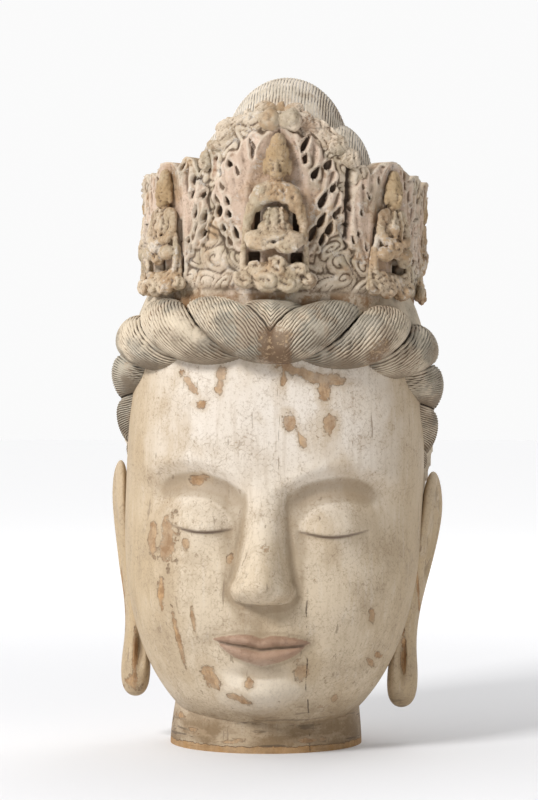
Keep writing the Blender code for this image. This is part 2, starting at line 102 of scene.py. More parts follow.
def forehead_to_chin(side, height):
    """Relief of the face over the plain egg, in metres, from the canon of twelve fingers."""
    a = np.abs(side) / FINGER
    k = (height - CHIN_Z) / FINGER
    brow = 7.6 + 0.95 * np.sin(math.pi * np.clip((a - 0.1) / 4.9, 0, 1))
    below = brow - k
    inner = smooth_step(0.25, 1.35, a) * smooth_step(5.3, 2.9, a)
    socket = -0.46 * smooth_step(-0.15, 0.85, below) * smooth_step(3.1, 0.9, below) * inner
    edge = 0.06 * bump_at(below, 0, 0.24) * smooth_step(4.8, 3.0, a)
    lid = 0.50 * smooth_step(1.05, 0.15, np.hypot((a - 2.2) / 1.75, (k - 6.62) / 1.22))
    run, slit = lid_line(a, k)
    shut = -0.15 * np.sin(math.pi * run) ** 0.5 * smooth_step(0.07, -0.03, slit)
    shut *= smooth_step(-0.9, -0.1, slit)
    down = np.clip((8.6 - k) / (8.6 - 4.7), 0, 1)
    ridge = 1.26 * down**1.55
    under = np.clip(4.78 + 0.10 * a**2 - k, 0, None) / 0.76
    ridge *= np.sqrt(np.clip(1 - under**2, 0, 1))
    breadth = 0.66 + 0.36 * down**2
    bridge = ridge * np.clip(1 - (a / breadth) ** 2, 0, 1) ** 1.15
    wing = 0.62 * smooth_step(1.05, 0.15, np.hypot((a - 0.66) / 0.47, (k - 4.50) / 0.47))
    nose = (bridge**3 + wing**3) ** (1 / 3)
    muzzle = 0.24 * bump_at(a, 0, 1.9) * bump_at(k, 2.8, 1.35)
    corner = -0.08 * bump_at(a, 1.66, 0.34) * bump_at(k, 2.86, 0.40)
    groove = -0.05 * bump_at(a, 0, 0.26) * smooth_step(2.9, 3.4, k) * smooth_step(4.2, 3.6, k)
    under_lip = -0.17 * bump_at(a, 0, 1.25) * bump_at(k, 1.72, 0.34)
    chin = 0.74 * bump_at(a, 0, 1.45) * bump_at(k, 1.02, 0.90)
    cheek = 0.22 * bump_at(a, 2.7, 1.7) * bump_at(k, 4.0, 1.5)
    fingers = socket + edge + lid + shut + nose + muzzle + mouth_relief(a, k)
    fingers += corner + groove + under_lip + chin + cheek
    return fingers * FINGER


def head_surface(turn, rise, swell=0.0):
    """Points of the head. turn is the bearing from the face's middle, rise runs from -1 to 1."""
    front = np.cos(turn)
    drop = NAPE_DROP + (JAW_DROP - NAPE_DROP) * smooth_step(-0.9, 0.2, front)
    fullness = np.where(rise > 0, 3.2, 2.4) + 0.7 * np.clip(front, 0, 1)
    fullness -= np.where(rise > 0, 0.5, 0.6) * np.clip(-front, 0, 1)
    spread = np.clip(1 - np.abs(rise) ** fullness, 0, 1) ** 0.5
    depth = np.where(front > 0, FACE_DEPTH, SKULL_DEPTH) + swell
    x = (HEAD_WIDTH / 2 + swell) * spread * rounded_power(np.sin(turn), 2.3)
    y = AXIS_Y - depth * spread * rounded_power(front, 2.3)
    reach = np.where(rise > 0, CROWN_OF_SKULL_Z - EYE_LEVEL_Z, drop) + swell
    z = EYE_LEVEL_Z + reach * rise
    return np.stack([x, y, z], axis=-1)


def face_mask(turn, tilt):
    """The front of the head up to the hair. Columns and rows crowd towards the features.

    Its rim runs in under the hair and closes there on a small core.
    """
    share = turn / math.pi / 0.88
    inside = smooth_step(1.0, 1.13, np.abs(share))
    share = np.clip(share, -1, 1)
    across = np.clip(np.abs(share) / 0.82, 0, 1)
    across = 0.965 * (0.74 * across + 0.26 * across**3)
    bearing = np.arcsin(across**1.15)
    bearing += smooth_step(0.75, 1.0, np.abs(share)) * math.radians(36)
    up = (tilt / (math.pi / 2) + 1) / 1.94
    rise = -np.cos(np.clip(up, 0, 1) * math.acos(-HAIRLINE_RISE))
    points = head_surface(np.sign(share) * bearing, rise)
    facing = smooth_step(0.12, 0.5, np.cos(bearing))
    points[:, 1] -= facing * forehead_to_chin(points[:, 0], points[:, 2])
    hidden = np.clip(inside + smooth_step(1.0, 1.02, up), 0, 1)[:, None]
    core = points * [0.4, 0.3, 1.0]
    a = np.abs(points[:, 0]) / FINGER
    k = (points[:, 2] - CHIN_Z) / FINGER
    seen = points[:, 1] < -0.05
    lips = np.clip(mouth_relief(a, k) * 40, 0, 2) * seen
    over = mouth_line(a, k)
    meeting = 0.75 * bump_at(over, 0.0, 0.045) * smooth_step(1.55, 1.25, a)
    meeting += 0.16 * bump_at(over, 0.03, 0.17) * smooth_step(1.6, 1.2, a)
    run, slit = lid_line(a, k)
    lash = bump_at(slit, -0.01, 0.055) * np.sin(math.pi * run) ** 0.4
    lines = np.maximum(lash, np.minimum(meeting, 0.7)) * seen
    points += (core - points) * hidden
    points[:, 2] = np.maximum(points[:, 2], NECK_CUT_CLEAR)
    return points, {"lips": lips, "lines": lines}


def neck_form(turn, tilt):
    """A short round neck that widens slightly towards its cut."""
    height = np.sin(tilt) * NECK_TOP_Z
    widen = 1.0 - 0.05 * smooth_step(0.0, 0.05, height)
    spread = np.clip(np.cos(tilt) * 2.2, 0, 1) * widen
    x = NECK_WIDTH / 2 * spread * np.sin(turn)
    y = -NECK_DEPTH / 2 * spread * np.cos(turn)
    return np.stack([x, y, height], axis=-1), {}


def points_of(mesh):
    co = np.empty(len(mesh.vertices) * 3, np.float32)
    mesh.vertices.foreach_get("co", co)
    return co.reshape(-1, 3).astype(float)


def normals_of(mesh):
    normals = np.empty(len(mesh.vertices) * 3, np.float32)
    mesh.vertices.foreach_get("normal", normals)
    return normals.reshape(-1, 3)


def place_points(mesh, points):
    mesh.vertices.foreach_set("co", np.asarray(points, np.float32).ravel())
    mesh.update()


def object_from(bm, name):
    mesh = bpy.data.meshes.new(name)
    bm.to_mesh(mesh)
    bm.free()
    obj = bpy.data.objects.new(name, mesh)
    bpy.context.scene.collection.objects.link(obj)
    return obj


def write_field(obj, name, values):
    """Keeps one number for each vertex, for the material to read."""
    field = obj.data.attributes.new(name, "FLOAT", "POINT")
    field.data.foreach_set("value", np.asarray(values, np.float32))


def from_sheet(name, columns, rows, form, *options):
    """A grid bent round into a closed form. The form gets each point's bearing and tilt angle.

    It returns the points, and fields to keep on them. The seam and the poles are welded later.
    """
    bm = bmesh.new()
    bmesh.ops.create_grid(bm, x_segments=columns, y_segments=rows, size=1.0)
    obj = object_from(bm, name)
    turn, tilt, _ = (points_of(obj.data) * math.pi).T
    points, fields = form(turn, tilt / 2, *options)
    place_points(obj.data, points)
    for field, values in fields.items():
        write_field(obj, field, values)
    return obj


def write_hollows(obj, name, passes):
    """How deep each vertex sits below its surroundings, in millimetres. Ridges are negative."""
    mesh = obj.data
    ends = np.empty(len(mesh.edges) * 2, np.int32)
    mesh.edges.foreach_get("vertices", ends)
    a, b = ends.reshape(-1, 2).T
    count = len(mesh.vertices)
    valence = np.bincount(a, minlength=count) + np.bincount(b, minlength=count)
    start = points_of(mesh)
    smooth = start.copy()
    for _ in range(passes):
        for i in range(3):
            total = np.bincount(a, smooth[b, i], count) + np.bincount(b, smooth[a, i], count)
            smooth[:, i] = 0.5 * (smooth[:, i] + total / np.maximum(valence, 1))
    write_field(obj, name, np.sum((smooth - start) * normals_of(mesh), axis=1) * 1000)


def lean(obj):
    """Tips a finished form over with the whole head, about the middle of the neck's cut."""
    obj.data.transform(Matrix.Rotation(math.radians(HEAD_ROLL_DEG), 4, "Y"))


def close_up(obj):
    """Welds, turns every face outwards and shades the form smooth."""
    bm = bmesh.new()
    bm.from_mesh(obj.data)
    bmesh.ops.remove_doubles(bm, verts=bm.verts, dist=1e-6)
    bmesh.ops.recalc_face_normals(bm, faces=bm.faces)
    bm.to_mesh(obj.data)
    bm.free()
    obj.data.polygons.foreach_set("use_smooth", [True] * len(obj.data.polygons))


def keep(obj, material, narrow, broad):
    """Gives a finished piece the fields its paint reads, its material and its place on the frame.

    narrow and broad are the rounds of smoothing that tell its small hollows and its large ones.
    """
    write_hollows(obj, "hollow", narrow)
    write_hollows(obj, "deep", broad)
    obj.data.materials.clear()
    obj.data.materials.append(material)
    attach(obj, "root")
    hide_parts("bodhisattva_head")


def add_node(tree, kind, settings, values, output=0):
    """A new node: its settings first, then its sockets' values or links. Returns one output."""
    node = tree.nodes.new(kind)
    for key, value in settings.items():
        setattr(node, key, value)
    for key, value in values.items():
        if isinstance(value, Wire):
            tree.links.new(value.socket, node.inputs[key])
        else:
            node.inputs[key].default_value = value
    return Wire(tree, node.outputs[output])


class Wire:
    """An output socket that can be added, multiplied and compared like a number."""

    def __init__(self, tree, socket):
        self.tree = tree
        self.socket = socket

    def maths(self, operation, *values):
        inputs = dict(enumerate(values))
        return add_node(self.tree, "ShaderNodeMath", {"operation": operation}, inputs)

    def __add__(self, other):
        return self.maths("ADD", self, other)

    def __sub__(self, other):
        return self.maths("SUBTRACT", self, other)

    def __rsub__(self, other):
        return self.maths("SUBTRACT", other, self)

    def __mul__(self, other):
        return self.maths("MULTIPLY", self, other)

    def __pow__(self, other):
        return self.maths("POWER", self, other)

    def __abs__(self):
        return self.maths("ABSOLUTE", self)

    __radd__ = __add__
    __rmul__ = __mul__

    def step(self, low, high):
        """0 below low and 1 above high, with a soft passage. low may be the larger one."""
        settings = {"interpolation_type": "SMOOTHSTEP"}
        values = {0: self, 1: min(low, high), 2: max(low, high), 3: 0.0, 4: 1.0}
        if low > high:
            values.update({3: 1.0, 4: 0.0})
        return add_node(self.tree, "ShaderNodeMapRange", settings, values)


class Finish:
    """A Principled material written as expressions, on the object's own coordinates."""

    def __init__(self, name):
        self.material = bpy.data.materials.new(name)
        self.material.use_nodes = True
        self.tree = self.material.node_tree
        self.shader = self.tree.nodes["Principled BSDF"]
        self.place = self.add("ShaderNodeTexCoord", {}, {}, "Object")

    def add(self, kind, settings, values, output=0):
        return add_node(self.tree, kind, settings, values, output)

    def field(self, name):
        return self.add("ShaderNodeAttribute", {"attribute_name": name}, {}, "Fac")

    def stretched(self, x, y, z):
        """The object's coordinates, scaled along each axis."""
        values = {0: self.place, 1: (x, y, z)}
        return self.add("ShaderNodeVectorMath", {"operation": "MULTIPLY"}, values)

    def along(self, axis):
        """The object's own X, Y or Z coordinate in metres."""
        return self.add("ShaderNodeSeparateXYZ", {}, {0: self.place}, axis)

    def noise(self, scale, detail=4.0, rough=0.55, place=None):
        """Smooth random values round 0.5, in patches about 1 / scale metres wide."""
        values = {"Vector": place or self.place, "Scale": scale, "Detail": detail, "Roughness": rough}
        return self.add("ShaderNodeTexNoise", {}, values)

    def cracks(self, scale, width):
        """1 along the edges of irregular cells, 0 inside them."""
        settings = {"feature": "DISTANCE_TO_EDGE"}
        values = {"Vector": self.place, "Scale": scale}
        return self.add("ShaderNodeTexVoronoi", settings, values, "Distance").step(width, 0.0)

    def mix(self, share, first, second):
        """A blend of two colours. A colour is another blend, or red, green and blue."""
        first, second = (c if isinstance(c, Wire) else (*c, 1.0) for c in (first, second))
        values = {0: share, 6: first, 7: second}
        return self.add("ShaderNodeMix", {"data_type": "RGBA"}, values, 2)

    def coat(self, share, colour):
        """Lays one more colour over those so far, where share is above 0."""
        self.colour = self.mix(share, self.colour, colour)

    def finish(self, roughness, height, depth):
        """Feeds the shader. height is a relief from 0 to 1 that stands depth metres tall."""
        values = {"Height": height, "Strength": 1.0, "Distance": depth}
        normal = self.add("ShaderNodeBump", {}, values)
        self.tree.links.new(self.colour.socket, self.shader.inputs["Base Color"])
        self.tree.links.new(roughness.socket, self.shader.inputs["Roughness"])
        self.tree.links.new(normal.socket, self.shader.inputs["Normal"])
        self.shader.inputs["Specular IOR Level"].default_value = 0.25
        return self.material


BARE_WOOD = (0.29, 0.160, 0.075)
PALE_WOOD = (0.54, 0.335, 0.165)
GREY_WOOD = (0.40, 0.290, 0.190)
# Near black: dirt in splits and cracks, and painted shade with dirt in the hair's broad hollows.
DIRT_AND_SHADE = (0.085, 0.060, 0.040)


def bare_wood(finish):
    """Colour of the wood where the paint is gone, with its grain running up the head."""
    grain = finish.noise(90, 6.0, 0.6, finish.stretched(3.0, 3.0, 0.22))
    wood = finish.mix(grain.step(0.35, 0.68), BARE_WOOD, PALE_WOOD)
    return finish.mix(finish.noise(11.0, 2.0).step(0.45, 0.60) * 0.5, wood, GREY_WOOD)


def flakes(points, marks):
    """How far each point is inside the nearest lost flake of paint, 1 at its middle.

    A mark is its place across and up, its width and height in metres, and its tilt in degrees.
    """
    inside = np.full(len(points), -3.0)
    for across, up, wide, tall, tilt in marks:
        angle = math.radians(tilt)
        dx = points[:, 0] - across
        dz = points[:, 2] - up
        along = dx * math.cos(angle) + dz * math.sin(angle)
        above = dz * math.cos(angle) - dx * math.sin(angle)
        reach = np.hypot(along / (wide / 2), above / (tall / 2))
        inside = np.maximum(inside, 1 - reach)
    return np.where(points[:, 1] < 0.0, inside, -3.0)


FOREHEAD_FLAKES = (
    (-0.029, 0.309, 0.008, 0.012, 0),
    (-0.030, 0.298, 0.006, 0.011, 0),
    (-0.055, 0.301, 0.006, 0.024, 35),
    (-0.046, 0.285, 0.009, 0.007, 0),
    (0.030, 0.311, 0.028, 0.009, -15),
    (0.051, 0.305, 0.036, 0.010, -8),
    (0.052, 0.296, 0.010, 0.020, 0),
    (0.021, 0.306, 0.005, 0.013, 0),
    (0.026, 0.271, 0.010, 0.013, 0),
    (0.035, 0.258, 0.006, 0.017, 25),
    (0.058, 0.268, 0.010, 0.015, 0),
)
CHEEK_FLAKES = (
    (-0.048, 0.224, 0.013, 0.008, 10),
    (-0.087, 0.177, 0.007, 0.026, 0),
    (-0.073, 0.176, 0.016, 0.037, 0),
    (-0.058, 0.173, 0.006, 0.010, 0),
    (-0.079, 0.130, 0.006, 0.028, 0),
    (-0.065, 0.096, 0.004, 0.042, 12),
    (-0.052, 0.113, 0.003, 0.020, 8),
    (-0.022, 0.160, 0.006, 0.009, -30),
    (0.091, 0.113, 0.005, 0.013, 0),
    (0.090, 0.074, 0.005, 0.009, 35),
    (0.096, 0.079, 0.005, 0.009, 40),
)
CHIN_FLAKES = (
    (-0.039, 0.065, 0.012, 0.024, 20),
    (-0.016, 0.049, 0.016, 0.009, -25),
    (-0.007, 0.062, 0.007, 0.009, 0),
    (0.035, 0.070, 0.012, 0.013, 0),
    (0.060, 0.045, 0.005, 0.008, -30),
)
NECK_FLAKES = (
    (-0.068, 0.026, 0.012, 0.005, 0),
    (-0.055, 0.015, 0.016, 0.004, -8),
    (-0.022, 0.010, 0.020, 0.004, 5),
    (0.040, 0.010, 0.024, 0.005, 0),
    (0.066, 0.028, 0.008, 0.005, 0),
)
BLOCK_SPLIT_X = 0.040

face = from_sheet("face", 270, 340, face_mask)
close_up(face)
lean(face)
marks = FOREHEAD_FLAKES + CHEEK_FLAKES + CHIN_FLAKES
write_field(face, "flake", flakes(points_of(face.data), marks))

neck = from_sheet("neck", 120, 100, neck_form)
close_up(neck)
lean(neck)
bm = bmesh.new()
bm.from_mesh(neck.data)
everything = bm.verts[:] + bm.edges[:] + bm.faces[:]
cut = bmesh.ops.bisect_plane(
    bm, geom=everything, plane_co=(0, 0, 0), plane_no=(0, 0, 1), clear_inner=True
)
rim = [part for part in cut["geom_cut"] if isinstance(part, bmesh.types.BMEdge)]
bmesh.ops.holes_fill(bm, edges=rim)
bm.to_mesh(neck.data)
bm.free()
write_field(neck, "flake", flakes(points_of(neck.data), NECK_FLAKES))


def chin_highlight(finish, sideways, height_up):
    """The round of the chin, painted paler as a highlight. 1 at its middle."""
    across = sideways * (1 / 0.040)
    above = (height_up - 0.056) * (1 / 0.024)
    uneven = (finish.noise(24.0, 4.0) - 0.5) * 1.2
    return (across * across + above * above + uneven).step(1.2, 0.2)


skin = Finish("painted_skin")
cloudy = skin.noise(7.0, 3.0)
mottled = skin.noise(34.0, 6.0, 0.62)
fine = skin.noise(420.0, 5.0, 0.75)
height_up = skin.along("Z")
sideways = skin.along("X")

# Cream paint, yellower towards the chin, and browner at the sides with painted shade and worn paint
skin.colour = skin.mix(cloudy.step(0.38, 0.62), (0.70, 0.635, 0.56), (0.64, 0.56, 0.465))
tan = (height_up + (cloudy - 0.5) * 0.22).step(0.27, 0.12) * 0.62
skin.coat(tan, (0.57, 0.44, 0.27))
# Painted shade with worn paint: browner towards both sides of the face.
rubbed_and_shaded_sides = (abs(sideways - 0.01) + (mottled - 0.5) * 0.04).step(0.070, 0.118) * 0.72
skin.coat(rubbed_and_shaded_sides, (0.44, 0.315, 0.170))
wash = skin.noise(15.0, 5.0, 0.6, skin.stretched(1.3, 1.3, 0.7)).step(0.50, 0.66)
skin.coat(wash * 0.50, (0.43, 0.315, 0.185))
patchy = mottled.step(0.47, 0.66) * (0.20 + (0.26 - height_up).step(-0.02, 0.12) * 0.26)
skin.coat(patchy, (0.40, 0.31, 0.21))

# The wood's grain, fine cracks and specks, seen through the paint
grain = skin.noise(75.0, 5.0, 0.68, skin.stretched(2.6, 2.6, 0.16))
skin.coat(grain.step(0.50, 0.66) * 0.24, (0.35, 0.255, 0.16))
skin.coat(grain.step(0.44, 0.34) * 0.12, (0.77, 0.73, 0.67))
crazed = skin.cracks(230.0, 0.10) * (mottled + (0.30 - height_up) * 0.35).step(0.42, 0.58)
skin.coat(crazed * fine.step(0.40, 0.58) * 0.50, (0.28, 0.20, 0.13))
skin.coat(fine.step(0.52, 0.64) * 0.42, (0.34, 0.25, 0.165))
specks = (skin.noise(190.0, 3.0, 0.6) + (mottled - 0.5) * 0.45).step(0.66, 0.73)
skin.coat(specks * 0.45, (0.22, 0.15, 0.095))

# Rose on the lips, dirt in the hollows, a painted highlight on the chin, painted shade with dirt in
# the broad hollows, and dark lines where lids and lips meet
rose = skin.field("lips") + (mottled - 0.5) * 2.4 + (fine - 0.5) * 1.6
skin.coat(rose.step(0.2, 1.9) * 0.70, (0.30, 0.160, 0.105))
smudge = skin.field("lips") * mottled.step(0.50, 0.60)
skin.coat(smudge.step(0.2, 1.4) * 0.45, (0.24, 0.150, 0.095))
grime = skin.field("hollow") + (mottled - 0.5) * 0.35
skin.coat(grime.step(0.14, 0.60) * 0.42, (0.31, 0.23, 0.145))
# Painted highlight: the round of the chin is paler.
skin.coat(chin_highlight(skin, sideways, height_up) * 0.45, (0.74, 0.67, 0.57))
# Painted shade with dirt: brown in the broad hollows round the eyes, nose and mouth.
recess_shade_and_dirt = skin.field("deep") + (mottled - 0.5) * 0.9
skin.coat(recess_shade_and_dirt.step(0.25, 1.9) * 0.46, (0.25, 0.175, 0.10))
skin.coat(skin.field("lines").step(0.1, 0.9) * 0.85, (0.11, 0.070, 0.048))

# The neck, darkened by painted shadow under the chin and by stains, and scored
throat = (height_up + (mottled - 0.5) * 0.05).step(0.050, 0.016)
stains = skin.noise(26.0, 5.0, 0.65, skin.stretched(1.0, 1.0, 1.8)).step(0.42, 0.58)
# Painted shadow under the chin, mixed with stains, darkens the whole neck.
skin.coat(throat * (0.46 + stains * 0.42), (0.19, 0.120, 0.058))
scored = skin.noise(40.0, 3.0, 0.6, skin.stretched(0.6, 0.6, 6.0)).step(0.59, 0.63)
skin.coat(scored * throat * 0.7, (0.10, 0.07, 0.045))

# Flakes gone down to the wood, chips, the split in the block and the sawn underside
ragged = skin.noise(85.0, 6.0, 0.72)
worn_edge = skin.field("flake") + (ragged - 0.5) * 3.6
skin.coat(worn_edge.step(-1.1, -0.05) * 0.45, (0.45, 0.335, 0.215))
lost = worn_edge.step(-0.22, 0.30)
chips = (skin.noise(60.0, 5.0, 0.7) + (skin.noise(9.0, 2.0) - 0.5) * 0.5).step(0.70, 0.715)
sawn = (height_up + (ragged - 0.5) * 0.008).step(0.0062, 0.0050)
scratch = skin.noise(60.0, 3.0, 0.6, skin.stretched(3.0, 3.0, 0.30)).step(0.665, 0.69)
skin.coat(scratch * 0.55, (0.20, 0.14, 0.09))
split = abs(sideways - BLOCK_SPLIT_X + (skin.noise(14.0, 3.0) - 0.5) * 0.012)
split = split.step(0.0007, 0.0001) * height_up.step(0.145, 0.12) * ragged.step(0.47, 0.56)
bare = (lost + chips * 0.7 + sawn).step(0.2, 0.8)
wood = skin.mix(worn_edge.step(0.55, 0.05) * (1.0 - sawn) * 0.6, bare_wood(skin), GREY_WOOD)
wood = skin.mix(skin.noise(130.0, 4.0, 0.7).step(0.46, 0.58) * 0.6, wood, (0.235, 0.125, 0.055))
wood = skin.mix(sawn * 0.5, wood, (0.46, 0.27, 0.11))
wood = skin.mix(fine.step(0.50, 0.66) * 0.35, wood, (0.20, 0.115, 0.055))
skin.coat(bare * (0.62 + mottled.step(0.42, 0.56) * 0.30), wood)
brown_edge = sawn.step(0.02, 0.3) * sawn.step(0.98, 0.7)
skin.coat(brown_edge * 0.7, (0.16, 0.10, 0.055))
# Dirt and painted shadow: a dark brown rim along the edge of each flake.
flake_rim_shade_and_dirt = worn_edge.step(-0.20, 0.0) * worn_edge.step(0.28, 0.10)
skin.coat(flake_rim_shade_and_dirt * ragged.step(0.50, 0.60) * 0.45, (0.17, 0.115, 0.07))
skin.coat(split * 0.80, DIRT_AND_SHADE)

relief = 0.55 + (1 - bare) * 0.35 + (fine - 0.5) * 0.2 + (mottled - 0.5) * 0.25 - split * 0.5
roughness = 0.58 + bare * 0.22 + (mottled - 0.5) * 0.15
skin_paint = skin.finish(roughness, relief, 0.0012)
keep(face, skin_paint, 34, 420)
keep(neck, skin_paint, 30, 30)

# The ears
# Two long ears with hanging lobes, carved in one with the head and painted as the face is. The
# lobes have opened along the grain in long dark splits.
EAR_TOP_Z = 0.232
EAR_BOTTOM_Z = 0.033
EAR_THICKNESS = 0.015
EAR_DEPTH = 0.062
LOBE_THICKNESS = 0.025
EAR_BACK_Y = 0.014


def ear_form(turn, tilt, hand):
    """A long ear: a flat upper shell with a sunk hollow, a narrow waist and a plump lobe."""
    along = 0.5 - np.sin(tilt) / 2
    height = EAR_TOP_Z + (EAR_BOTTOM_Z - EAR_TOP_Z) * along
    shell = bump_at(along, 0.20, 0.26)
    lobe = bump_at(along, 0.90, 0.20)
    half_depth = 0.013 + (EAR_DEPTH / 2 - 0.013) * shell + 0.004 * lobe
    half_thick = EAR_THICKNESS / 2 + (LOBE_THICKNESS - EAR_THICKNESS) / 2 * lobe
    blunt = np.where(along > 0.5, 16, 6)
    round_end = np.sqrt(np.clip(1 - np.abs(2 * along - 1) ** blunt, 0, 1))
    centre_x = HEAD_WIDTH / 2 + 0.008 - 0.020 * smooth_step(0.12, 0.80, along)
    centre_y = EAR_BACK_Y - 0.010 * smooth_step(0.1, 0.9, along)
    back = -np.cos(turn)
    outer = smooth_step(0.0, 0.6, np.sin(turn))
    level = (along - 0.25) / 0.235
    dish = smooth_step(1.0, 0.72, np.hypot((back + 0.04) / 0.84, level))
    arch = np.hypot((back + 0.30) / 0.66, (along - 0.30) / 0.155)
    fold = bump_at(arch, 1.0, 0.16) * smooth_step(-0.35, 0.05, back) * smooth_step(0.42, 0.36, along)
    branch = bump_at(back - 0.25 + 2.6 * (along - 0.155), 0.0, 0.10) * bump_at(along, 0.15, 0.045)
    hole = smooth_step(1.0, 0.45, np.hypot((back + 0.22) / 0.40, (along - 0.335) / 0.085))
    flap = bump_at(back, -0.80, 0.20) * bump_at(along, 0.335, 0.035)
    carve = 1 - outer * (0.72 * dish - 0.42 * fold - 0.30 * branch + 0.42 * hole - 0.35 * flap)
    outward = half_thick * round_end * np.sin(turn) * hand * carve
    opened = bump_at(along, 0.79, 0.075) * bump_at(turn, 0.15 * hand, 0.30)
    backward = half_depth * round_end * back + 0.008 * opened
    x = hand * centre_x + outward + hand * 0.20 * backward
    return np.stack([x, centre_y + backward, height], axis=-1), {}


for name, hand in (("left_ear", -1), ("right_ear", 1)):
    ear = from_sheet(name, 110, 170, ear_form, hand)
    close_up(ear)
    lean(ear)
    spot = points_of(ear.data)
    slit_x = hand * 0.113 + 0.003
    splits = ((slit_x, 0.074, 0.0040, 0.036, 0), (slit_x + hand * 0.012, 0.130, 0.0020, 0.060, 4))
    chipped = ((-0.113, 0.049, 0.014, 0.010, -8), (-0.124, 0.045, 0.012, 0.005, 10))
    write_field(ear, "flake", flakes(spot - [0, 0.2, 0], splits + (chipped if hand < 0 else ())))
    keep(ear, skin_paint, 30, 200)

# The roll of hair over the forehead
# A thick rope of hair, carved as fat twisted locks that part in the middle. A small gouge has cut
# its strands, and blue-grey paint and old dirt lie in the grooves.
ROLL_PITCH = 0.047
ROLL_TWIST = 2.0
ROLL_DIP = 0.40
ROLL_LENGTH = 0.262
GROOVES_PER_LOCK = 19
COMB_DEPTH = 0.0011


def roll_path(share):
    """Centre line and radius of the hair roll. share is 0 at the parting and 1 behind the ear."""
    stations = np.linspace(0.0, 1.0, 7)
    half = HEAD_WIDTH / 2
    x = np.array([0.0, 0.36, 0.70, 0.875, 0.925, 0.925, 0.90]) * half
    y = AXIS_Y - FACE_DEPTH * np.array([1.04, 0.96, 0.69, 0.38, 0.15, 0.00, -0.12])
    hairline = CHIN_Z + FACE_HEIGHT
    z = hairline + FACE_HEIGHT * np.array([0.060, 0.062, 0.054, 0.020, -0.095, -0.215, -0.330])
    radius = FINGER * np.array([1.00, 1.10, 1.20, 1.18, 0.95, 0.78, 0.62])
    eased = np.clip(np.abs(share), 0, 1)
    return [np.interp(eased, stations, values) for values in (x, y, z, radius)]


def smooth_roll_path(share):
    """The same line with its corners rounded, by averaging a short stretch of it."""
    window = np.linspace(-0.09, 0.09, 9)
    samples = [roll_path(share + offset) for offset in window]
    x, y, z, radius = (np.mean([s[i] for s in samples], axis=0) for i in range(4))
    signed = np.mean([np.sign(share + o) * roll_path(share + o)[0] for o in window], axis=0)
    return np.where(np.abs(share) < 0.12, signed, np.sign(share) * x), y, z, radius


def roll_turns(share, turn):
    """Which twisted lock a point of the roll lies on, counted from the parting."""
    return np.abs(share) * ROLL_LENGTH / ROLL_PITCH - turn / (2 * math.pi) * ROLL_TWIST


def roll_form(turn, tilt):
    """Hair roll from ear to ear: a rope whose strands wind away from the parting on both sides."""
    share = np.clip(tilt / (math.pi / 2), -1, 1)
    turn = turn + 2 * math.pi * np.abs(share) * ROLL_LENGTH / ROLL_PITCH / ROLL_TWIST
    x, y, z, radius = smooth_roll_path(share)
    step = 0.004
    ahead = np.stack(smooth_roll_path(share + step)[:3], axis=-1)
    behind = np.stack(smooth_roll_path(share - step)[:3], axis=-1)
    along = ahead - behind
    along /= np.linalg.norm(along, axis=1, keepdims=True)
    outward = np.stack([x, y - AXIS_Y, np.zeros_like(x)], axis=-1)
    outward -= along * np.sum(outward * along, axis=1, keepdims=True)
    outward /= np.linalg.norm(outward, axis=1, keepdims=True)
    upward = np.cross(outward, along)
    upward *= np.sign(upward[:, 2:3] + 1e-9)
    phase = roll_turns(share, turn)
    across = 2 * (phase - np.floor(phase)) - 1
    strand = np.sqrt(np.clip(1 - across**2, 0, 1))
    close = np.sqrt(np.clip(1 - share**16, 0, 1))
    dip = ROLL_DIP * (0.40 + 0.60 * smooth_step(0.02, 0.13, np.abs(share)))
    reach = radius * close * (1 - dip + dip * strand)
    spoke = outward * np.cos(turn)[:, None] + upward * np.sin(turn)[:, None]
    points = np.stack([x, y, z], axis=-1) + reach[:, None] * spoke
    worn = bump_at(share, 0.012, 0.042) * smooth_step(0.8, -0.4, np.sin(turn))
    worn += 0.8 * bump_at(share, 0.27, 0.035) * bump_at(np.sin(turn), -0.5, 0.5)
    return points, {"comb": phase * GROOVES_PER_LOCK, "worn": worn}


def start_tree(name, **inputs):
    """An empty tree of geometry nodes with named inputs. Returns it, and a wire from each input."""
    tree = bpy.data.node_groups.new(name, "GeometryNodeTree")
    for label, kind in inputs.items():
        tree.interface.new_socket(label, in_out="INPUT", socket_type="NodeSocket" + kind)
    tree.interface.new_socket("Geometry", in_out="OUTPUT", socket_type="NodeSocketGeometry")
    source = tree.nodes.new("NodeGroupInput")
    return tree, [Wire(tree, source.outputs[label]) for label in inputs]


def end_tree(tree, geometry, material):
    """Makes a tree's result real geometry of one material, and sends it out."""
    real = add_node(tree, "GeometryNodeRealizeInstances", {}, {"Geometry": geometry})
    values = {"Geometry": real, "Material": material}
    painted = add_node(tree, "GeometryNodeSetMaterial", {}, values)
    sink = tree.nodes.new("NodeGroupOutput")
    tree.links.new(painted.socket, sink.inputs[0])
    return tree


def combing_tree():
    """Geometry nodes that gouge grooves along a surface, numbered by its field named comb.

    The grooves fade where the field named worn rises to 1.
    """
    tree, wires = start_tree("combing", Geometry="Geometry", Depth="Float", Material="Material")
    surface, depth, material = wires
    named = {"data_type": "FLOAT"}
    comb = add_node(tree, "GeometryNodeInputNamedAttribute", named, {"Name": "comb"})
    uneven = add_node(tree, "ShaderNodeTexNoise", {}, {"Scale": 55.0, "Detail": 2.0})
    wobble = comb + (uneven - 0.5) * 0.9
    ridge = abs(wobble.maths("SINE", wobble * math.pi)) ** 1.1
    patchy = add_node(tree, "ShaderNodeTexNoise", {}, {"Scale": 34.0, "Detail": 3.0})
    worn = add_node(tree, "GeometryNodeInputNamedAttribute", named, {"Name": "worn"})
    inward = (ridge - 1.0) * depth * patchy.step(0.28, 0.50) * worn.step(0.75, 0.25)
    values = {0: add_node(tree, "GeometryNodeInputNormal", {}, {}), "Scale": inward}
    offset = add_node(tree, "ShaderNodeVectorMath", {"operation": "SCALE"}, values)
    values = {"Geometry": surface, "Offset": offset}
    return end_tree(tree, add_node(tree, "GeometryNodeSetPosition", {}, values), material)


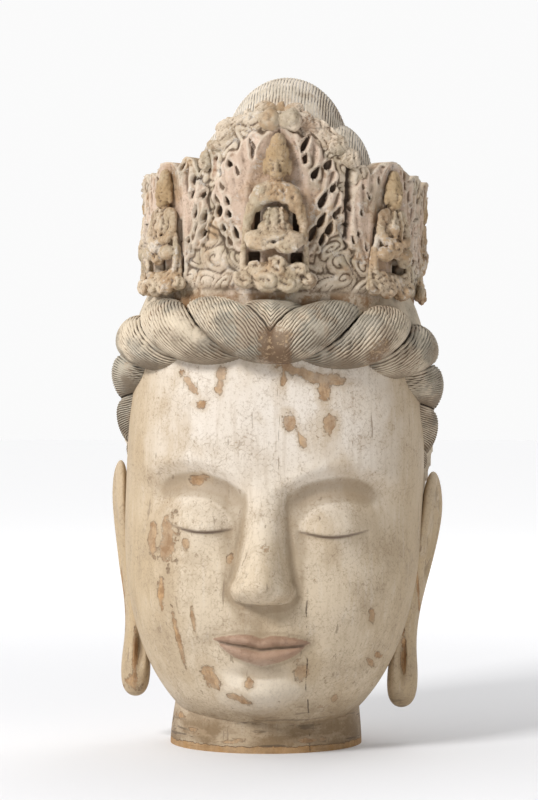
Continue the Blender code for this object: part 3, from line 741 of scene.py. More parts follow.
def run_nodes(obj, tree, **inputs):
    """Runs a node tree on an object and keeps the result as its plain mesh."""
    modifier = obj.modifiers.new(tree.name, "NODES")
    modifier.node_group = tree
    for item in tree.interface.items_tree:
        if item.item_type == "SOCKET" and item.name in inputs:
            modifier[item.identifier] = inputs[item.name]
    bpy.context.view_layer.update()
    graph = bpy.context.evaluated_depsgraph_get()
    result = bpy.data.meshes.new_from_object(obj.evaluated_get(graph), depsgraph=graph)
    obj.modifiers.clear()
    obj.data = result


def hair_finish(name, light, dark, blue_share, chalk_share):
    """Worn paint on combed hair: dirt low in the grooves, bare wood and chalk on their ridges.

    It reads the fields hollow, deep, under, worn and base, where a piece has them.
    """
    hair = Finish(name)
    broad = hair.noise(13.0, 3.0)
    middling = hair.noise(45.0, 5.0, 0.6)
    fine = hair.noise(500.0, 4.0, 0.65)
    hollow = hair.field("hollow")
    hair.colour = hair.mix(middling.step(0.38, 0.62), light, dark)
    blue = (broad + (middling - 0.5) * 0.6).step(0.42, 0.54)
    hair.coat(blue * blue_share, (0.170, 0.168, 0.145))
    rust = hair.noise(24.0, 5.0, 0.65).step(0.51, 0.60)
    hair.coat(rust * 0.66, (0.21, 0.125, 0.070))
    low = (hollow + (fine - 0.5) * 0.10).step(-0.06, 0.08)
    hair.coat(low * 0.84, (0.075, 0.056, 0.039))
    high = (hollow * -1.0 + (fine - 0.5) * 0.2 + (middling - 0.5) * 0.4).step(0.04, 0.20)
    hair.coat(high * (0.66 - blue * blue_share * 0.30), (0.68, 0.58, 0.44))
    # Painted shade with dirt: darker brown on the undersides.
    under = (hair.field("under") + (middling - 0.5) * 1.2).step(-0.05, 0.70)
    hair.coat(under * 0.72, (0.125, 0.085, 0.050))
    ragged = hair.noise(150.0, 5.0, 0.75)
    middle = hair.field("worn") * (1.3 + (middling - 0.5) * 3.0 + (ragged - 0.5) * 2.4)
    middle = middle.step(0.28, 0.62)
    hair.coat(middle * 0.80, (0.150, 0.085, 0.045))
    hair.coat(middle * ragged.step(0.52, 0.60) * 0.8, (0.42, 0.30, 0.18))
    # Painted shade with dirt: near black in the broad hollows.
    deep = (hair.field("deep") + (middling - 0.5) * 1.4).step(-0.1, 1.5)
    hair.coat(deep * 0.88, DIRT_AND_SHADE)
    chalk = (hair.noise(28.0, 5.0, 0.65) + (fine - 0.5) * 0.4).step(0.56, 0.68)
    hair.coat(chalk * (1.0 - deep) * chalk_share, (0.60, 0.53, 0.43))
    # Painted shade: dark brown low down, behind the crown's wall.
    hair.coat(hair.field("base") * 0.80, (0.25, 0.190, 0.130))
    speck = (fine + (middling - 0.5) * 0.5).step(0.56, 0.70)
    hair.coat(speck * 0.40, (0.13, 0.09, 0.06))
    roughness = 0.78 + (fine - 0.5) * 0.2
    return hair.finish(roughness, fine * 0.6 + middling * 0.5, 0.0006)


combing = combing_tree()
hair_paint = hair_finish("painted_hair", (0.46, 0.375, 0.275), (0.27, 0.205, 0.14), 0.85, 0.34)
roll = from_sheet("hair_roll", 244, 300, roll_form)
close_up(roll)
run_nodes(roll, combing, Depth=COMB_DEPTH, Material=hair_paint)
lean(roll)
# The field under marks the downward faces, which the paint darkens as painted shade.
write_field(roll, "under", np.clip(-normals_of(roll.data)[:, 2], 0, 1))
keep(roll, hair_paint, 5, 160)

# The hair over the back of the head
# The same block, combed upwards from the nape into the crown. It is plainer than the front and
# its grooves are wider.
HAIR_THICKNESS = 0.009
BACK_GROOVE = 0.0042


def hair_edge(height):
    """How far forward the combed hair reaches: behind the ear, and under the roll above it."""
    levels = [0.10, 0.16, 0.215, 0.2595, 0.2955, 0.330, 0.345]
    return np.interp(height, levels, [0.064, 0.052, 0.036, 0.003, -0.015, -0.042, -0.085])


def back_hair(turn, tilt):
    """Hair over the back of the skull, combed up to the crown. It sinks into the flesh in front."""
    turn = turn + 0.45 * np.sin(turn)
    points = head_surface(turn, np.sin(tilt), HAIR_THICKNESS)
    covered = smooth_step(-0.004, 0.016, points[:, 1] - hair_edge(points[:, 2]))
    sunk = head_surface(turn, np.sin(tilt), -0.030)
    comb = turn * HEAD_WIDTH / 2 / BACK_GROOVE
    return sunk + (points - sunk) * covered[:, None], {"comb": comb}


back_paint = hair_finish("combed_back", (0.36, 0.295, 0.22), (0.27, 0.215, 0.155), 0.50, 0.10)
back = from_sheet("back_hair", 620, 64, back_hair)
close_up(back)
run_nodes(back, combing, Depth=COMB_DEPTH, Material=back_paint)
lean(back)
keep(back, back_paint, 5, 40)

# The hair gathered inside the crown
# A tall knot between two side loops, on the round of the skull. Its strands are combed from the
# front over the top to the back, and light dust has settled on them.
CROWN_BASE_Z = 0.352
CROWN_BASE_RADIUS = 0.111
KNOT_TOP_Z = 0.560
KNOT_WIDTH = 0.106
KNOT_DEPTH = 0.126
KNOT_HEIGHT = 0.130
SIDE_LOOP_WIDTH = 0.074
SIDE_LOOP_DEPTH = 0.120
SIDE_LOOP_HEIGHT = 0.104
SIDE_LOOP_TOP_Z = 0.524
SKULL_ROUND_HEIGHT = 0.128
KNOT_GROOVE = 0.0031
KNOT_COMB_SHARE = 0.75


def combed_egg(turn, tilt, centre, radii):
    """An egg whose poles point left and right, so that its rows run from front to back."""
    x = np.sin(tilt)
    ring = np.cos(tilt)
    unit = np.stack([x, -ring * np.cos(turn), ring * np.sin(turn)], axis=-1)
    comb = tilt * (radii[0] + radii[2]) / 2 / KNOT_GROOVE
    return unit * radii + centre, {"comb": comb}


knot_centre = (0, AXIS_Y, KNOT_TOP_Z - KNOT_HEIGHT / 2)
loop_aside = SIDE_LOOP_WIDTH / 2
loop_z = SIDE_LOOP_TOP_Z - SIDE_LOOP_HEIGHT / 2
loop_radii = (loop_aside, SIDE_LOOP_DEPTH / 2, SIDE_LOOP_HEIGHT / 2)
round_radii = (CROWN_BASE_RADIUS, CROWN_BASE_RADIUS, SKULL_ROUND_HEIGHT)
eggs = [
    (knot_centre, (KNOT_WIDTH / 2, KNOT_DEPTH / 2, KNOT_HEIGHT / 2), 90, 190),
    ((-loop_aside, AXIS_Y, loop_z), loop_radii, 72, 130),
    ((loop_aside, AXIS_Y, loop_z), loop_radii, 72, 130),
    ((0, AXIS_Y, CROWN_BASE_Z), round_radii, 60, 260),
]
knot_bm = bmesh.new()
for centre, radii, columns, rows in eggs:
    egg = from_sheet("egg", columns, rows, combed_egg, np.array(centre), np.array(radii))
    knot_bm.from_mesh(egg.data)
    bpy.data.objects.remove(egg)
knot = object_from(knot_bm, "gathered_hair")
close_up(knot)
knot_paint = hair_finish("dusty_hair", (0.68, 0.62, 0.555), (0.54, 0.48, 0.41), 0.25, 0.34)
run_nodes(knot, combing, Depth=COMB_DEPTH * KNOT_COMB_SHARE, Material=knot_paint)
# Painted shade: the hair turns dark brown low down, behind the crown's wall.
write_field(knot, "base", smooth_step(0.452, 0.420, points_of(knot.data)[:, 2]))
lean(knot)
keep(knot, knot_paint, 5, 80)

# The crown's wall
# A tall band round the hair, carved in low relief: a flaming halo behind each figure, scrolling
# clouds between them, and a plain strip below that has cracked along the grain.
CROWN_PEAK_Z = 0.518
CROWN_SIDE_Z = 0.482
CROWN_DIP_Z = 0.464
CROWN_BACK_Z = 0.434
CROWN_RIM_RADIUS = 0.1155
CROWN_THICKNESS = 0.013
MOUND_REACH_DEG = 34.0
SIDE_PANEL_DEG = 50.0
FLANK_PANEL_DEG = 89.0
HUMP_DROP = 0.018
EDGE_HUMPS = (
    (-139, 0.446, 8), (-124, 0.456, 9), (-108, 0.467, 9), (-92, 0.474, 10), (-77, 0.473, 8),
    (-65, 0.472, 7), (-51.5, 0.479, 11), (-39, 0.482, 6), (34.5, 0.479, 5), (49.5, 0.484, 12.5),
    (68, 0.4765, 9), (83, 0.474, 8), (97, 0.472, 9), (112, 0.463, 9), (127, 0.454, 9),
    (141, 0.445, 8),
)
FIGURE_FOOT_Z = 0.373
CENTRE_FIGURE_HEIGHT = 0.123
SIDE_FIGURE_HEIGHT = 0.104
FLANK_FIGURE_HEIGHT = 0.096
CLOUD_SPACING = 0.0200
CLEFT_DEG = 29.0
KNOT_HOLE_DEG = -23.5
KNOT_HOLE_Z = 0.4375
NAIL_HOLE_DEG = -26.0
NAIL_HOLE_Z = 0.480
PANELS = (
    (0.0, CENTRE_FIGURE_HEIGHT),
    (SIDE_PANEL_DEG, SIDE_FIGURE_HEIGHT),
    (FLANK_PANEL_DEG, FLANK_FIGURE_HEIGHT),
)


def edge_humps(bearing):
    """The rounded humps along the crown's edge: their height, and how far inside one a point is."""
    turned = np.degrees((bearing + math.pi) % (2 * math.pi) - math.pi)
    edge = np.zeros_like(turned)
    inside = np.zeros_like(turned)
    for middle, top, half_width in EDGE_HUMPS:
        away = np.clip(np.abs(turned - middle) / half_width, 0, 1)
        rounded = (1 - away**2) ** 0.75
        hump = np.where(away < 1, top - HUMP_DROP * (1 - rounded), 0)
        inside = np.where(hump > edge, rounded, inside)
        edge = np.maximum(edge, hump)
    return edge, inside


def crown_top(bearing):
    """Height of the crown's edge: a tall front mound, rounded humps at the sides, a low back."""
    aside = np.degrees(np.abs((bearing + math.pi) % (2 * math.pi) - math.pi))
    low = smooth_step(150, 105, aside)
    rim = CROWN_BACK_Z + (CROWN_DIP_Z - 0.004 - CROWN_BACK_Z) * low
    mound = CROWN_PEAK_Z - (CROWN_PEAK_Z - CROWN_DIP_Z) * (aside / MOUND_REACH_DEG) ** 3.2
    return np.maximum(np.maximum(rim, mound), edge_humps(bearing)[0])


def crown_radius(height):
    share = (height - CROWN_BASE_Z) / (CROWN_SIDE_Z - CROWN_BASE_Z)
    return CROWN_BASE_RADIUS + (CROWN_RIM_RADIUS - CROWN_BASE_RADIUS) * np.clip(share, 0, 1)


def crown_point(bearing, height, out):
    """A point of the crown's outer face, out metres proud of it."""
    reach = crown_radius(height) + out
    x = reach * np.sin(bearing)
    y = AXIS_Y - reach * np.cos(bearing)
    return np.stack([x, y, height + 0 * x], axis=-1)


def niche_edge(up, tall):
    """Half width of the pointed frame round a figure at a height above its foot."""
    share = np.clip((up / tall - 0.50) / 0.58, 0, 1)
    return 0.21 * tall * np.clip(1 - share**2, 0, 1) ** 0.62


def drop_hole(dx, dz, tilt, long, broad):
    """How far a point lies from the middle of a drop-shaped hole, 1 at the hole's edge."""
    s = (dz * math.cos(tilt) + dx * math.sin(tilt)) / long
    t = np.abs(dx * math.cos(tilt) - dz * math.sin(tilt))
    taper = np.sqrt(np.clip(1 - s**2, 0.0001, 1)) * (1 - 0.45 * np.clip(s, -1, 1))
    beyond = np.clip(np.abs(s) - 0.8, 0, 9) * 3
    return np.hypot(t / (broad * np.maximum(taper, 0.25)), beyond)


def flame_relief(across, up, tall, seed):
    """A flaming halo: a smooth field with drop-shaped holes, each inside a rounded rim.

    Returns the relief in metres, and how far the point is inside the halo.
    """
    rng = np.random.default_rng(seed)
    middle = 0.56 * tall
    high = (up - middle) / np.where(up > middle, 0.50 * tall, 0.36 * tall)
    wide = across / (0.43 * tall)
    ring = np.hypot(wide, high)
    angle = np.arctan2(wide, high)
    edge = 1.0 + 0.035 * np.sin(13 * angle + seed) + 0.02 * np.sin(29 * angle)
    inside = smooth_step(-0.02, 0.03, edge - ring)
    relief = 0.0034 + 0.0012 * smooth_step(0.45, 0.8, ring)
    flow = np.sin(2 * math.pi * (across * np.sign(across) / 0.0105 - up / 0.034 + 1.6 * ring))
    ridged = np.where(across > 0, 0.0011, 0.0005) * smooth_step(0.60, 0.78, ring)
    relief += ridged * flow
    holes = np.zeros_like(ring)
    rims = np.zeros_like(ring)
    scale = (tall / CENTRE_FIGURE_HEIGHT) ** 2
    for level, count in ((0.74, 5), (0.92, 6)):
        for turn in np.linspace(0.50, 2.30, count):
            for hand in (-1, 1):
                bearing = turn + rng.uniform(-0.09, 0.09)
                reach = level + rng.uniform(-0.04, 0.04)
                spot_x = hand * math.sin(bearing) * reach * 0.43 * tall
                half_height = 0.50 if bearing < math.pi / 2 else 0.36
                spot_z = math.cos(bearing) * reach * half_height * tall
                tilt = hand * rng.uniform(0.15, 0.55)
                large = scale * (1.0 if hand > 0 else 0.75)
                long = rng.uniform(0.0040, 0.0080) * large
                broad = rng.uniform(0.0020, 0.0034) * large
                near = drop_hole(across - spot_x, up - middle - spot_z, tilt, long, broad)
                strength = rng.uniform(0.55, 1.0) if hand > 0 else rng.uniform(0.0, 0.8)
                holes = np.maximum(holes, strength * smooth_step(1.15, 0.65, near))
                rims = np.maximum(rims, strength * bump_at(near, 1.55, 0.45))
    clear = (np.abs(across) - niche_edge(up, tall)) / tall
    shown = smooth_step(0.50, 0.58, ring) * smooth_step(-0.02, 0.02, clear)
    relief += (0.0014 * rims * (1 - holes) - 0.0075 * holes) * shown
    return relief * inside, inside


def sink_niche(relief, aside, up, tall):
    """Cuts the niche behind a figure: a dished field in a raised lip, with pits by the sleeves."""
    edge = niche_edge(up, tall) - np.abs(aside)
    above_foot = smooth_step(0.006, 0.014, up)
    niche = smooth_step(-0.0008, 0.0010, edge) * above_foot
    lip = bump_at(edge, 0.0010, 0.0032) * above_foot
    out = np.abs(aside) / tall
    high = up / tall
    pit = smooth_step(0.09, 0.12, out) * smooth_step(0.20, 0.175, out)
    pit *= smooth_step(0.14, 0.17, high) * smooth_step(0.29, 0.25, high)
    slit = smooth_step(0.10, 0.12, out) * smooth_step(0.165, 0.145, out)
    slit *= smooth_step(0.38, 0.41, high) * smooth_step(0.57, 0.53, high)
    sunk = 0.0024 * smooth_step(0.0, 0.014, edge) + 0.0080 * np.maximum(pit, slit)
    return relief * (1 - niche) + niche * (0.0034 - sunk) + 0.0012 * lip


def cloud_relief(across, up):
    """Flat scrolling clouds: worm-like ridges that curl round an uneven lattice of hearts."""
    rng = np.random.default_rng(11)
    across = across + 0.0030 * np.sin(up / 0.0042 + 1.0) + 0.0015 * np.sin(across / 0.0060)
    up = up + 0.0026 * np.sin(across / 0.0051) + 0.0012 * np.sin(up / 0.0037 + 2.0)
    columns = np.arange(-26, 27)
    rows = np.arange(0, 12)
    grid_x, grid_y = np.meshgrid(columns, rows)
    centres_x = (grid_x + 0.5 * (grid_y % 2)) * CLOUD_SPACING
    centres_y = (grid_y + 0.5) * CLOUD_SPACING * 0.86
    centres_x = centres_x + rng.uniform(-0.30, 0.30, grid_x.shape) * CLOUD_SPACING
    centres_y = centres_y + rng.uniform(-0.25, 0.25, grid_x.shape) * CLOUD_SPACING
    hand = np.where((grid_x + grid_y) % 2 == 0, 1.0, -1.0)
    size = rng.uniform(0.0056, 0.0078, grid_x.shape)
    column = np.round(across / CLOUD_SPACING).astype(int)
    row = np.round(up / (CLOUD_SPACING * 0.86) - 0.5).astype(int)
    best = np.full(across.shape, 9.0)
    swirl = np.zeros(across.shape)
    for dr in (-1, 0, 1):
        for dc in (-2, -1, 0, 1):
            r = np.clip(row + dr, 0, len(rows) - 1)
            c = np.clip(column + dc + 26, 0, len(columns) - 1)
            dx = across - centres_x[r, c]
            dy = up - centres_y[r, c]
            distance = np.hypot(dx, dy)
            turned = distance / size[r, c] - hand[r, c] * np.arctan2(dy, dx) / (2 * math.pi)
            nearer = distance < best
            best = np.where(nearer, distance, best)
            swirl = np.where(nearer, turned, swirl)
    groove = np.abs(np.sin(math.pi * swirl)) ** 0.65
    mound = smooth_step(0.0150, 0.0050, best)
    left = 0.75 + 0.25 * smooth_step(-0.03, 0.02, across)
    worn = left * (0.80 + 0.20 * np.sin(across / 0.017 + 1.3) * np.sin(up / 0.013 + across / 0.05))
    return 0.0028 * groove * (0.45 + 0.55 * mound) * worn + 0.0016 * mound


def crown_relief(bearing, height):
    """Relief of the crown's outer face in metres, and how much of a halo each point is."""
    turned = (bearing + math.pi) % (2 * math.pi) - math.pi
    across = turned * CROWN_RIM_RADIUS
    up = height - FIGURE_FOOT_Z
    shown = 0.55 + 0.45 * smooth_step(135, 100, np.degrees(np.abs(turned)))
    shown *= smooth_step(0.002, 0.008, up)
    relief = cloud_relief(across, up) * shown * 0.8
    halo = np.zeros_like(relief)
    for index, (degrees, tall) in enumerate(PANELS):
        for hand in (-1, 1) if degrees else (1,):
            spot = across - hand * math.radians(degrees) * CROWN_RIM_RADIUS
            flame, inside = flame_relief(spot, up, tall, 7 * index + hand)
            relief = relief * (1 - inside) + flame
            halo = np.maximum(halo, inside)
            relief = sink_niche(relief, spot, up, tall)
    aside = np.degrees(turned)
    cleft = bump_at(aside, CLEFT_DEG, 1.4) + 0.3 * bump_at(aside, -CLEFT_DEG, 1.2)
    relief -= 0.0060 * cleft * smooth_step(0.034, 0.05, up)
    knot_hole = np.hypot((aside - KNOT_HOLE_DEG) / 1.9, (height - KNOT_HOLE_Z) / 0.0055)
    nail_hole = np.hypot((aside - NAIL_HOLE_DEG) / 1.0, (height - NAIL_HOLE_Z) / 0.0020)
    holes = np.maximum(smooth_step(1.0, 0.6, knot_hole), smooth_step(1.0, 0.5, nail_hole))
    relief -= 0.0085 * holes
    rough = np.sin(across / 0.0041 + 1.3 * np.sin(up / 0.0057)) * np.sin(up / 0.0049 + across / 0.012)
    return relief + 0.0004 * rough * shown, halo


def crown_wall(bearing, around):
    """The crown's band, once round its section: outer face, edge, inner face and foot.

    Its columns crowd towards the front. The field streak marks the rust below the nail's hole.
    """
    bearing = bearing - 0.38 * np.sin(bearing)
    share = around / math.pi + 0.5
    up = np.interp(share, [0.0, 0.78, 0.82, 0.96, 1.0], [0.0, 1.0, 1.0, 0.0, 0.0])
    inward = np.interp(share, [0.0, 0.78, 0.82, 0.96, 1.0], [0.0, 0.0, 1.0, 1.0, 0.0])
    top = crown_top(bearing)
    height = CROWN_BASE_Z + (top - CROWN_BASE_Z) * up
    proud, halo = crown_relief(bearing, height)
    lobe = edge_humps(bearing)[1] * smooth_step(0.022, 0.008, top - height) * (1 - halo)
    veins = np.abs(np.sin(bearing * 62 + 3 * np.sin(height * 90)))
    proud += lobe * (0.0034 - 0.0010 * veins) - 0.35 * proud * lobe
    proud *= (1 - inward) * smooth_step(0.0, 0.02, share)
    aside = np.degrees((bearing + math.pi) % (2 * math.pi) - math.pi)
    streak = smooth_step(0.462, 0.468, height) * smooth_step(0.484, 0.479, height) * (1 - inward)
    fields = {"halo": halo, "bearing": aside, "streak": streak}
    return crown_point(bearing, height, proud - inward * CROWN_THICKNESS), fields


def crown_finish(name, light, dark, pink_share, high_share):
    """Thin old paint over carved wood: dirt fills the hollows, the high edges are worn paler with a
    painted highlight, and painted shade darkens the broad hollows.
    """
    crown = Finish(name)
    broad = crown.noise(16.0, 4.0)
    middling = crown.noise(60.0, 6.0, 0.65)
    fine = crown.noise(480.0, 5.0, 0.7)
    hollow = crown.field("hollow")
    crown.colour = crown.mix(middling.step(0.38, 0.64), light, dark)
    pink = (crown.field("halo") * 0.40 + broad).step(0.50, 0.78)
    crown.coat(pink * pink_share, (0.53, 0.375, 0.29))
    moss = crown.noise(27.0, 4.0, 0.6).step(0.50, 0.64)
    crown.coat(moss * 0.55, (0.30, 0.25, 0.165))
    ochre = crown.noise(21.0, 5.0, 0.65).step(0.49, 0.62)
    crown.coat(ochre * 0.66, (0.37, 0.225, 0.110))
    worn = crown.noise(38.0, 5.0, 0.7).step(0.57, 0.63)
    crown.coat(worn * 0.60, (0.21, 0.125, 0.065))
    head = (crown.field("head") * (0.85 + (middling - 0.5) * 1.6)).step(0.0, 1.0)
    crown.coat(head * 0.75, (0.36, 0.245, 0.125))
    low = (hollow + (fine - 0.5) * 0.30 + (middling - 0.5) * 0.50).step(-0.02, 0.40)
    crown.coat(low * 0.84, (0.105, 0.065, 0.038))
    # Worn paint and painted highlight: paler on the raised edges.
    high = (hollow * -1.0 + (middling - 0.5) * 0.8).step(0.08, 0.50)
    crown.coat(high * high_share * (1.0 - head * 0.6), (0.66, 0.575, 0.46))
    # Painted shade with dirt: near black in the broad hollows, under the figures, their laps and
    # sleeves.
    deep = (crown.field("deep") + (middling - 0.5) * 1.5).step(0.3, 2.3)
    crown.coat(deep * 0.86, (0.055, 0.038, 0.027))
    chalk = (crown.noise(50.0, 5.0, 0.7) + (fine - 0.5) * 0.5).step(0.56, 0.64)
    chalk = chalk * (1.0 - deep) * (1.0 - head * 0.8)
    crown.coat(chalk * 0.50, (0.70, 0.65, 0.58))
    streak = abs(crown.field("bearing") - NAIL_HOLE_DEG + 0.3 + (middling - 0.5) * 1.6).step(1.5, 0.3)
    streak = streak * crown.field("streak") * (0.6 + (fine - 0.5) * 1.2)
    crown.coat(streak, (0.27, 0.120, 0.050))
    speck = (fine + (broad - 0.5) * 0.3).step(0.55, 0.68)
    crown.coat(speck * 0.50, (0.17, 0.115, 0.07))
    foot = (crown.along("Z") + (middling - 0.5) * 0.012).step(0.376, 0.370)
    crown.coat(foot * middling.step(0.42, 0.56) * 0.8, BARE_WOOD)
    checks = crown.noise(30.0, 3.0, 0.6, crown.stretched(0.35, 0.35, 5.0)).step(0.63, 0.66)
    crown.coat(foot * checks * 0.9, DIRT_AND_SHADE)
    roughness = 0.8 + (fine - 0.5) * 0.2
    return crown.finish(roughness, fine * 0.6 + middling * 0.9, 0.0011)


wall = from_sheet("crown_wall", 560, 150, crown_wall)
close_up(wall)
lean(wall)
crown_paint = crown_finish("painted_crown", (0.61, 0.51, 0.395), (0.42, 0.325, 0.225), 0.60, 0.50)
keep(wall, crown_paint, 8, 90)

# The figures of the crown
# Five seated figures in high relief, each cut from the wall in one with its seat of clouds. Faces
# and hands keep some ochre, and painted shade darkens the gaps under their sleeves and laps.
FIGURE_GRAIN = 0.00085
FIGURE_PARTS = 126
CENTRE_CHIN = 93
SIDE_CHIN = 89
LEFT_FIGURE_DROP = 0.004
LEFT_FIGURE_TURN_DEG = 1.6


def panel_place(bearing_deg, foot_z):
    """Axes of a crown panel: X across, Y outwards, Z up, with its origin on the wall's face."""
    bearing = math.radians(bearing_deg)
    foot = crown_point(np.array(bearing), np.array(foot_z), 0.0)
    return Matrix.Translation([float(v) for v in foot]) @ Matrix.Rotation(
        bearing + math.pi, 4, "Z"
    )


def fuse(obj, grain, passes):
    """Makes overlapping lumps one closed block, and wears its edges down."""
    block = obj.modifiers.new("one block", "REMESH")
    block.mode = "VOXEL"
    block.voxel_size = grain
    worn = obj.modifiers.new("worn", "SMOOTH")
    worn.iterations = passes
    bpy.context.view_layer.update()
    graph = bpy.context.evaluated_depsgraph_get()
    obj.data = bpy.data.meshes.new_from_object(obj.evaluated_get(graph))
    obj.modifiers.clear()


class Clay:
    """Rounded lumps that are fused into one figure later.

    Lengths are in 126ths of the figure's height: across it, out from the wall and up.
    """

    def __init__(self):
        ball = bmesh.new()
        bmesh.ops.create_uvsphere(ball, u_segments=28, v_segments=18, radius=1.0)
        self.ball = np.array([vert.co for vert in ball.verts])
        self.faces = [[vert.index for vert in face.verts] for face in ball.faces]
        self.lumps = []
        ball.free()

    def lump(self, across, out, up, *radii):
        self.lumps.append(self.ball * radii + (across, out, up))

    def cord(self, points, radius):
        """A rounded fold along a line of points."""
        for start, end in zip(points, points[1:]):
            for share in np.linspace(0, 1, 6):
                spot = [s + (e - s) * share for s, e in zip(start, end)]
                self.lump(*spot, radius, radius, radius)

    def scroll(self, across, out, up, size, hand, winding=4.4):
        """A flat lobe of cloud or cloth with a fat curl raised on it."""
        self.lump(across, out, up, 1.05 * size, 0.66 * size, 0.82 * size)
        spots = []
        for share in np.linspace(0, 1, 9):
            reach = size * (0.88 - 0.70 * share)
            angle = hand * winding * share + 0.6
            proud = 0.66 * math.sqrt(size**2 - reach**2) + 0.10 * size
            x = 1.1 * reach * math.cos(angle)
            z = 0.85 * reach * math.sin(angle)
            spots.append((across + x, out + proud, up + z))
        self.cord(spots, 0.27 * size)

    def block(self, name, sizes, place):
        """All the lumps as one object in metres, on its panel of the crown."""
        mesh = bpy.data.meshes.new(name)
        starts = [len(self.ball) * number for number in range(len(self.lumps))]
        faces = [[start + i for i in face] for start in starts for face in self.faces]
        mesh.from_pydata(np.concatenate(self.lumps) * sizes, [], faces)
        mesh.transform(place)
        figure = bpy.data.objects.new(name, mesh)
        bpy.context.scene.collection.objects.link(figure)
        return figure


def cloud_seat(clay, seed):
    """The bank of curling clouds that a figure sits on, with its knees and hanging sleeves."""
    rng = np.random.default_rng(seed)
    curls = (
        (-27, 8, 12, 9.0), (-13, 14, 8, 10.5), (6, 16, 8, 10.5), (24, 11, 10, 10.0),
        (-20, 11, 19, 7.0), (-3, 15, 18, 7.5), (14, 13, 19, 7.5),
    )
    for index, (across, out, up, size) in enumerate(curls):
        jitter = rng.uniform(-1.5, 1.5, 3)
        size = size * rng.uniform(0.90, 1.10)
        clay.scroll(across + jitter[0], out + jitter[1], up + jitter[2], size, (-1) ** index)
    clay.lump(0, 7, 14, 28, 11, 12)
    clay.lump(-9, 12, 14, 13, 8, 10)
    clay.lump(10, 12, 14, 13, 8, 10)
    clay.lump(0, 15, 46, 22, 9, 6.5)
    for hand in (-1, 1):
        clay.lump(hand * 14, 17, 43, 11, 9, 7.5)
        clay.cord([(hand * 25, 6, 14), (hand * 26, 8, 30), (hand * 24, 9, 48)], 2.8)


def mantled_body(clay):
    """The middle figure's body, under a mantle that hangs clear of it like a bell."""
    clay.scroll(-17, 17, 43, 6.5, 1, 5.4)
    clay.scroll(-3, 14, 24, 7.5, 1, 6.0)
    clay.lump(0, 18, 46, 20, 7.5, 4.0)
    clay.lump(-10, 19.5, 38.5, 10.5, 7, 7.0)
    clay.lump(12, 19.5, 39, 11, 7, 6.0)
    clay.cord([(-22, 19, 47), (-8, 24, 46), (2, 25, 43), (12, 24, 45), (22, 19, 46)], 1.8)
    clay.cord([(-18, 23, 36), (-9, 25, 33), (-2, 23, 38), (8, 25, 35), (19, 22, 37)], 2.0)
    clay.lump(0, 11, 62, 10.5, 8, 9)
    clay.lump(0, 12, 53, 14.5, 8, 7)
    clay.lump(0.5, 17.5, 60, 3.6, 3.6, 9)
    clay.lump(0, 12, 84, 15.5, 9, 8)
    clay.lump(0, 15, 80, 12, 6.5, 6)
    hem = [(-21, 13, 58), (-18.5, 16, 68), (-11, 19, 74), (0, 20, 77)]
    clay.cord(hem + [(-across, out, up) for across, out, up in hem[-2::-1]], 3.2)
    for hand in (-1, 1):
        clay.lump(hand * 10, 13, 80, 10, 8.5, 9)
        clay.lump(hand * 15.5, 14, 74, 6.5, 7, 9)
        clay.cord([(hand * 20.5, 13, 70), (hand * 23, 13, 57), (hand * 23, 13, 44)], 3.6)
        clay.cord([(hand * 5, 18, 68), (hand * 7.5, 19, 50)], 1.7)
        clay.cord([(0, 20, 85), (hand * 6, 20.5, 78), (hand * 11, 20.5, 76)], 1.6)


def robed_body(clay, aside):
    """A side figure's body, its arms folded round a scroll that lies a little aside."""
    clay.scroll(aside, 19, 50, 10.0, -1, 6.2)
    clay.scroll(-aside * 4, 15, 37, 8.0, 1, 5.0)
    clay.lump(0, 12, 70, 15, 9, 17)
    clay.lump(0, 12, 52, 16, 9, 12)
    clay.lump(aside, 20, 68, 5.5, 5, 5)
    for hand in (-1, 1):
        clay.lump(hand * 10, 12, 79, 9, 8, 9)
        arm = [(hand * 16, 12, 80), (hand * 19.5, 14, 66), (hand * 16, 19, 56), (hand * 7, 22, 54)]
        clay.cord(arm, 4.4)
        clay.cord([(hand * 4, 20, 84), (hand * 7, 21, 70), (hand * 4, 22, 60)], 2.0)
        clay.cord([(hand * 21, 12, 60), (hand * 26, 13, 44), (hand * 24, 14, 26)], 3.2)


def small_head(clay, chin):
    """Neck, head, the knot of hair, and a plain face with its nose, lips, lids, brows and ears."""
    clay.lump(0, 12, chin, 6, 6, 7)
    clay.lump(0, 13, chin + 12, 10.4, 9.4, 12.0)
    clay.lump(0, 12.5, chin + 20, 9.8, 9.0, 9.5)
    clay.lump(0, 12, chin + 28, 6.6, 6.5, 9.0)
    clay.lump(0, 17.6, chin + 2.8, 5.4, 4.8, 4.4)
    clay.lump(0, 22.1, chin + 9.5, 1.5, 2.1, 3.8)
    clay.lump(0, 22.2, chin + 5.2, 3.0, 1.6, 1.0)
    for hand in (-1, 1):
        clay.lump(hand * 10.2, 12, chin + 9, 1.9, 3.2, 7)
        clay.lump(hand * 3.9, 20.8, chin + 12.0, 2.6, 1.7, 1.2)
        clay.lump(hand * 4.0, 20.2, chin + 15.2, 3.2, 1.6, 0.8)


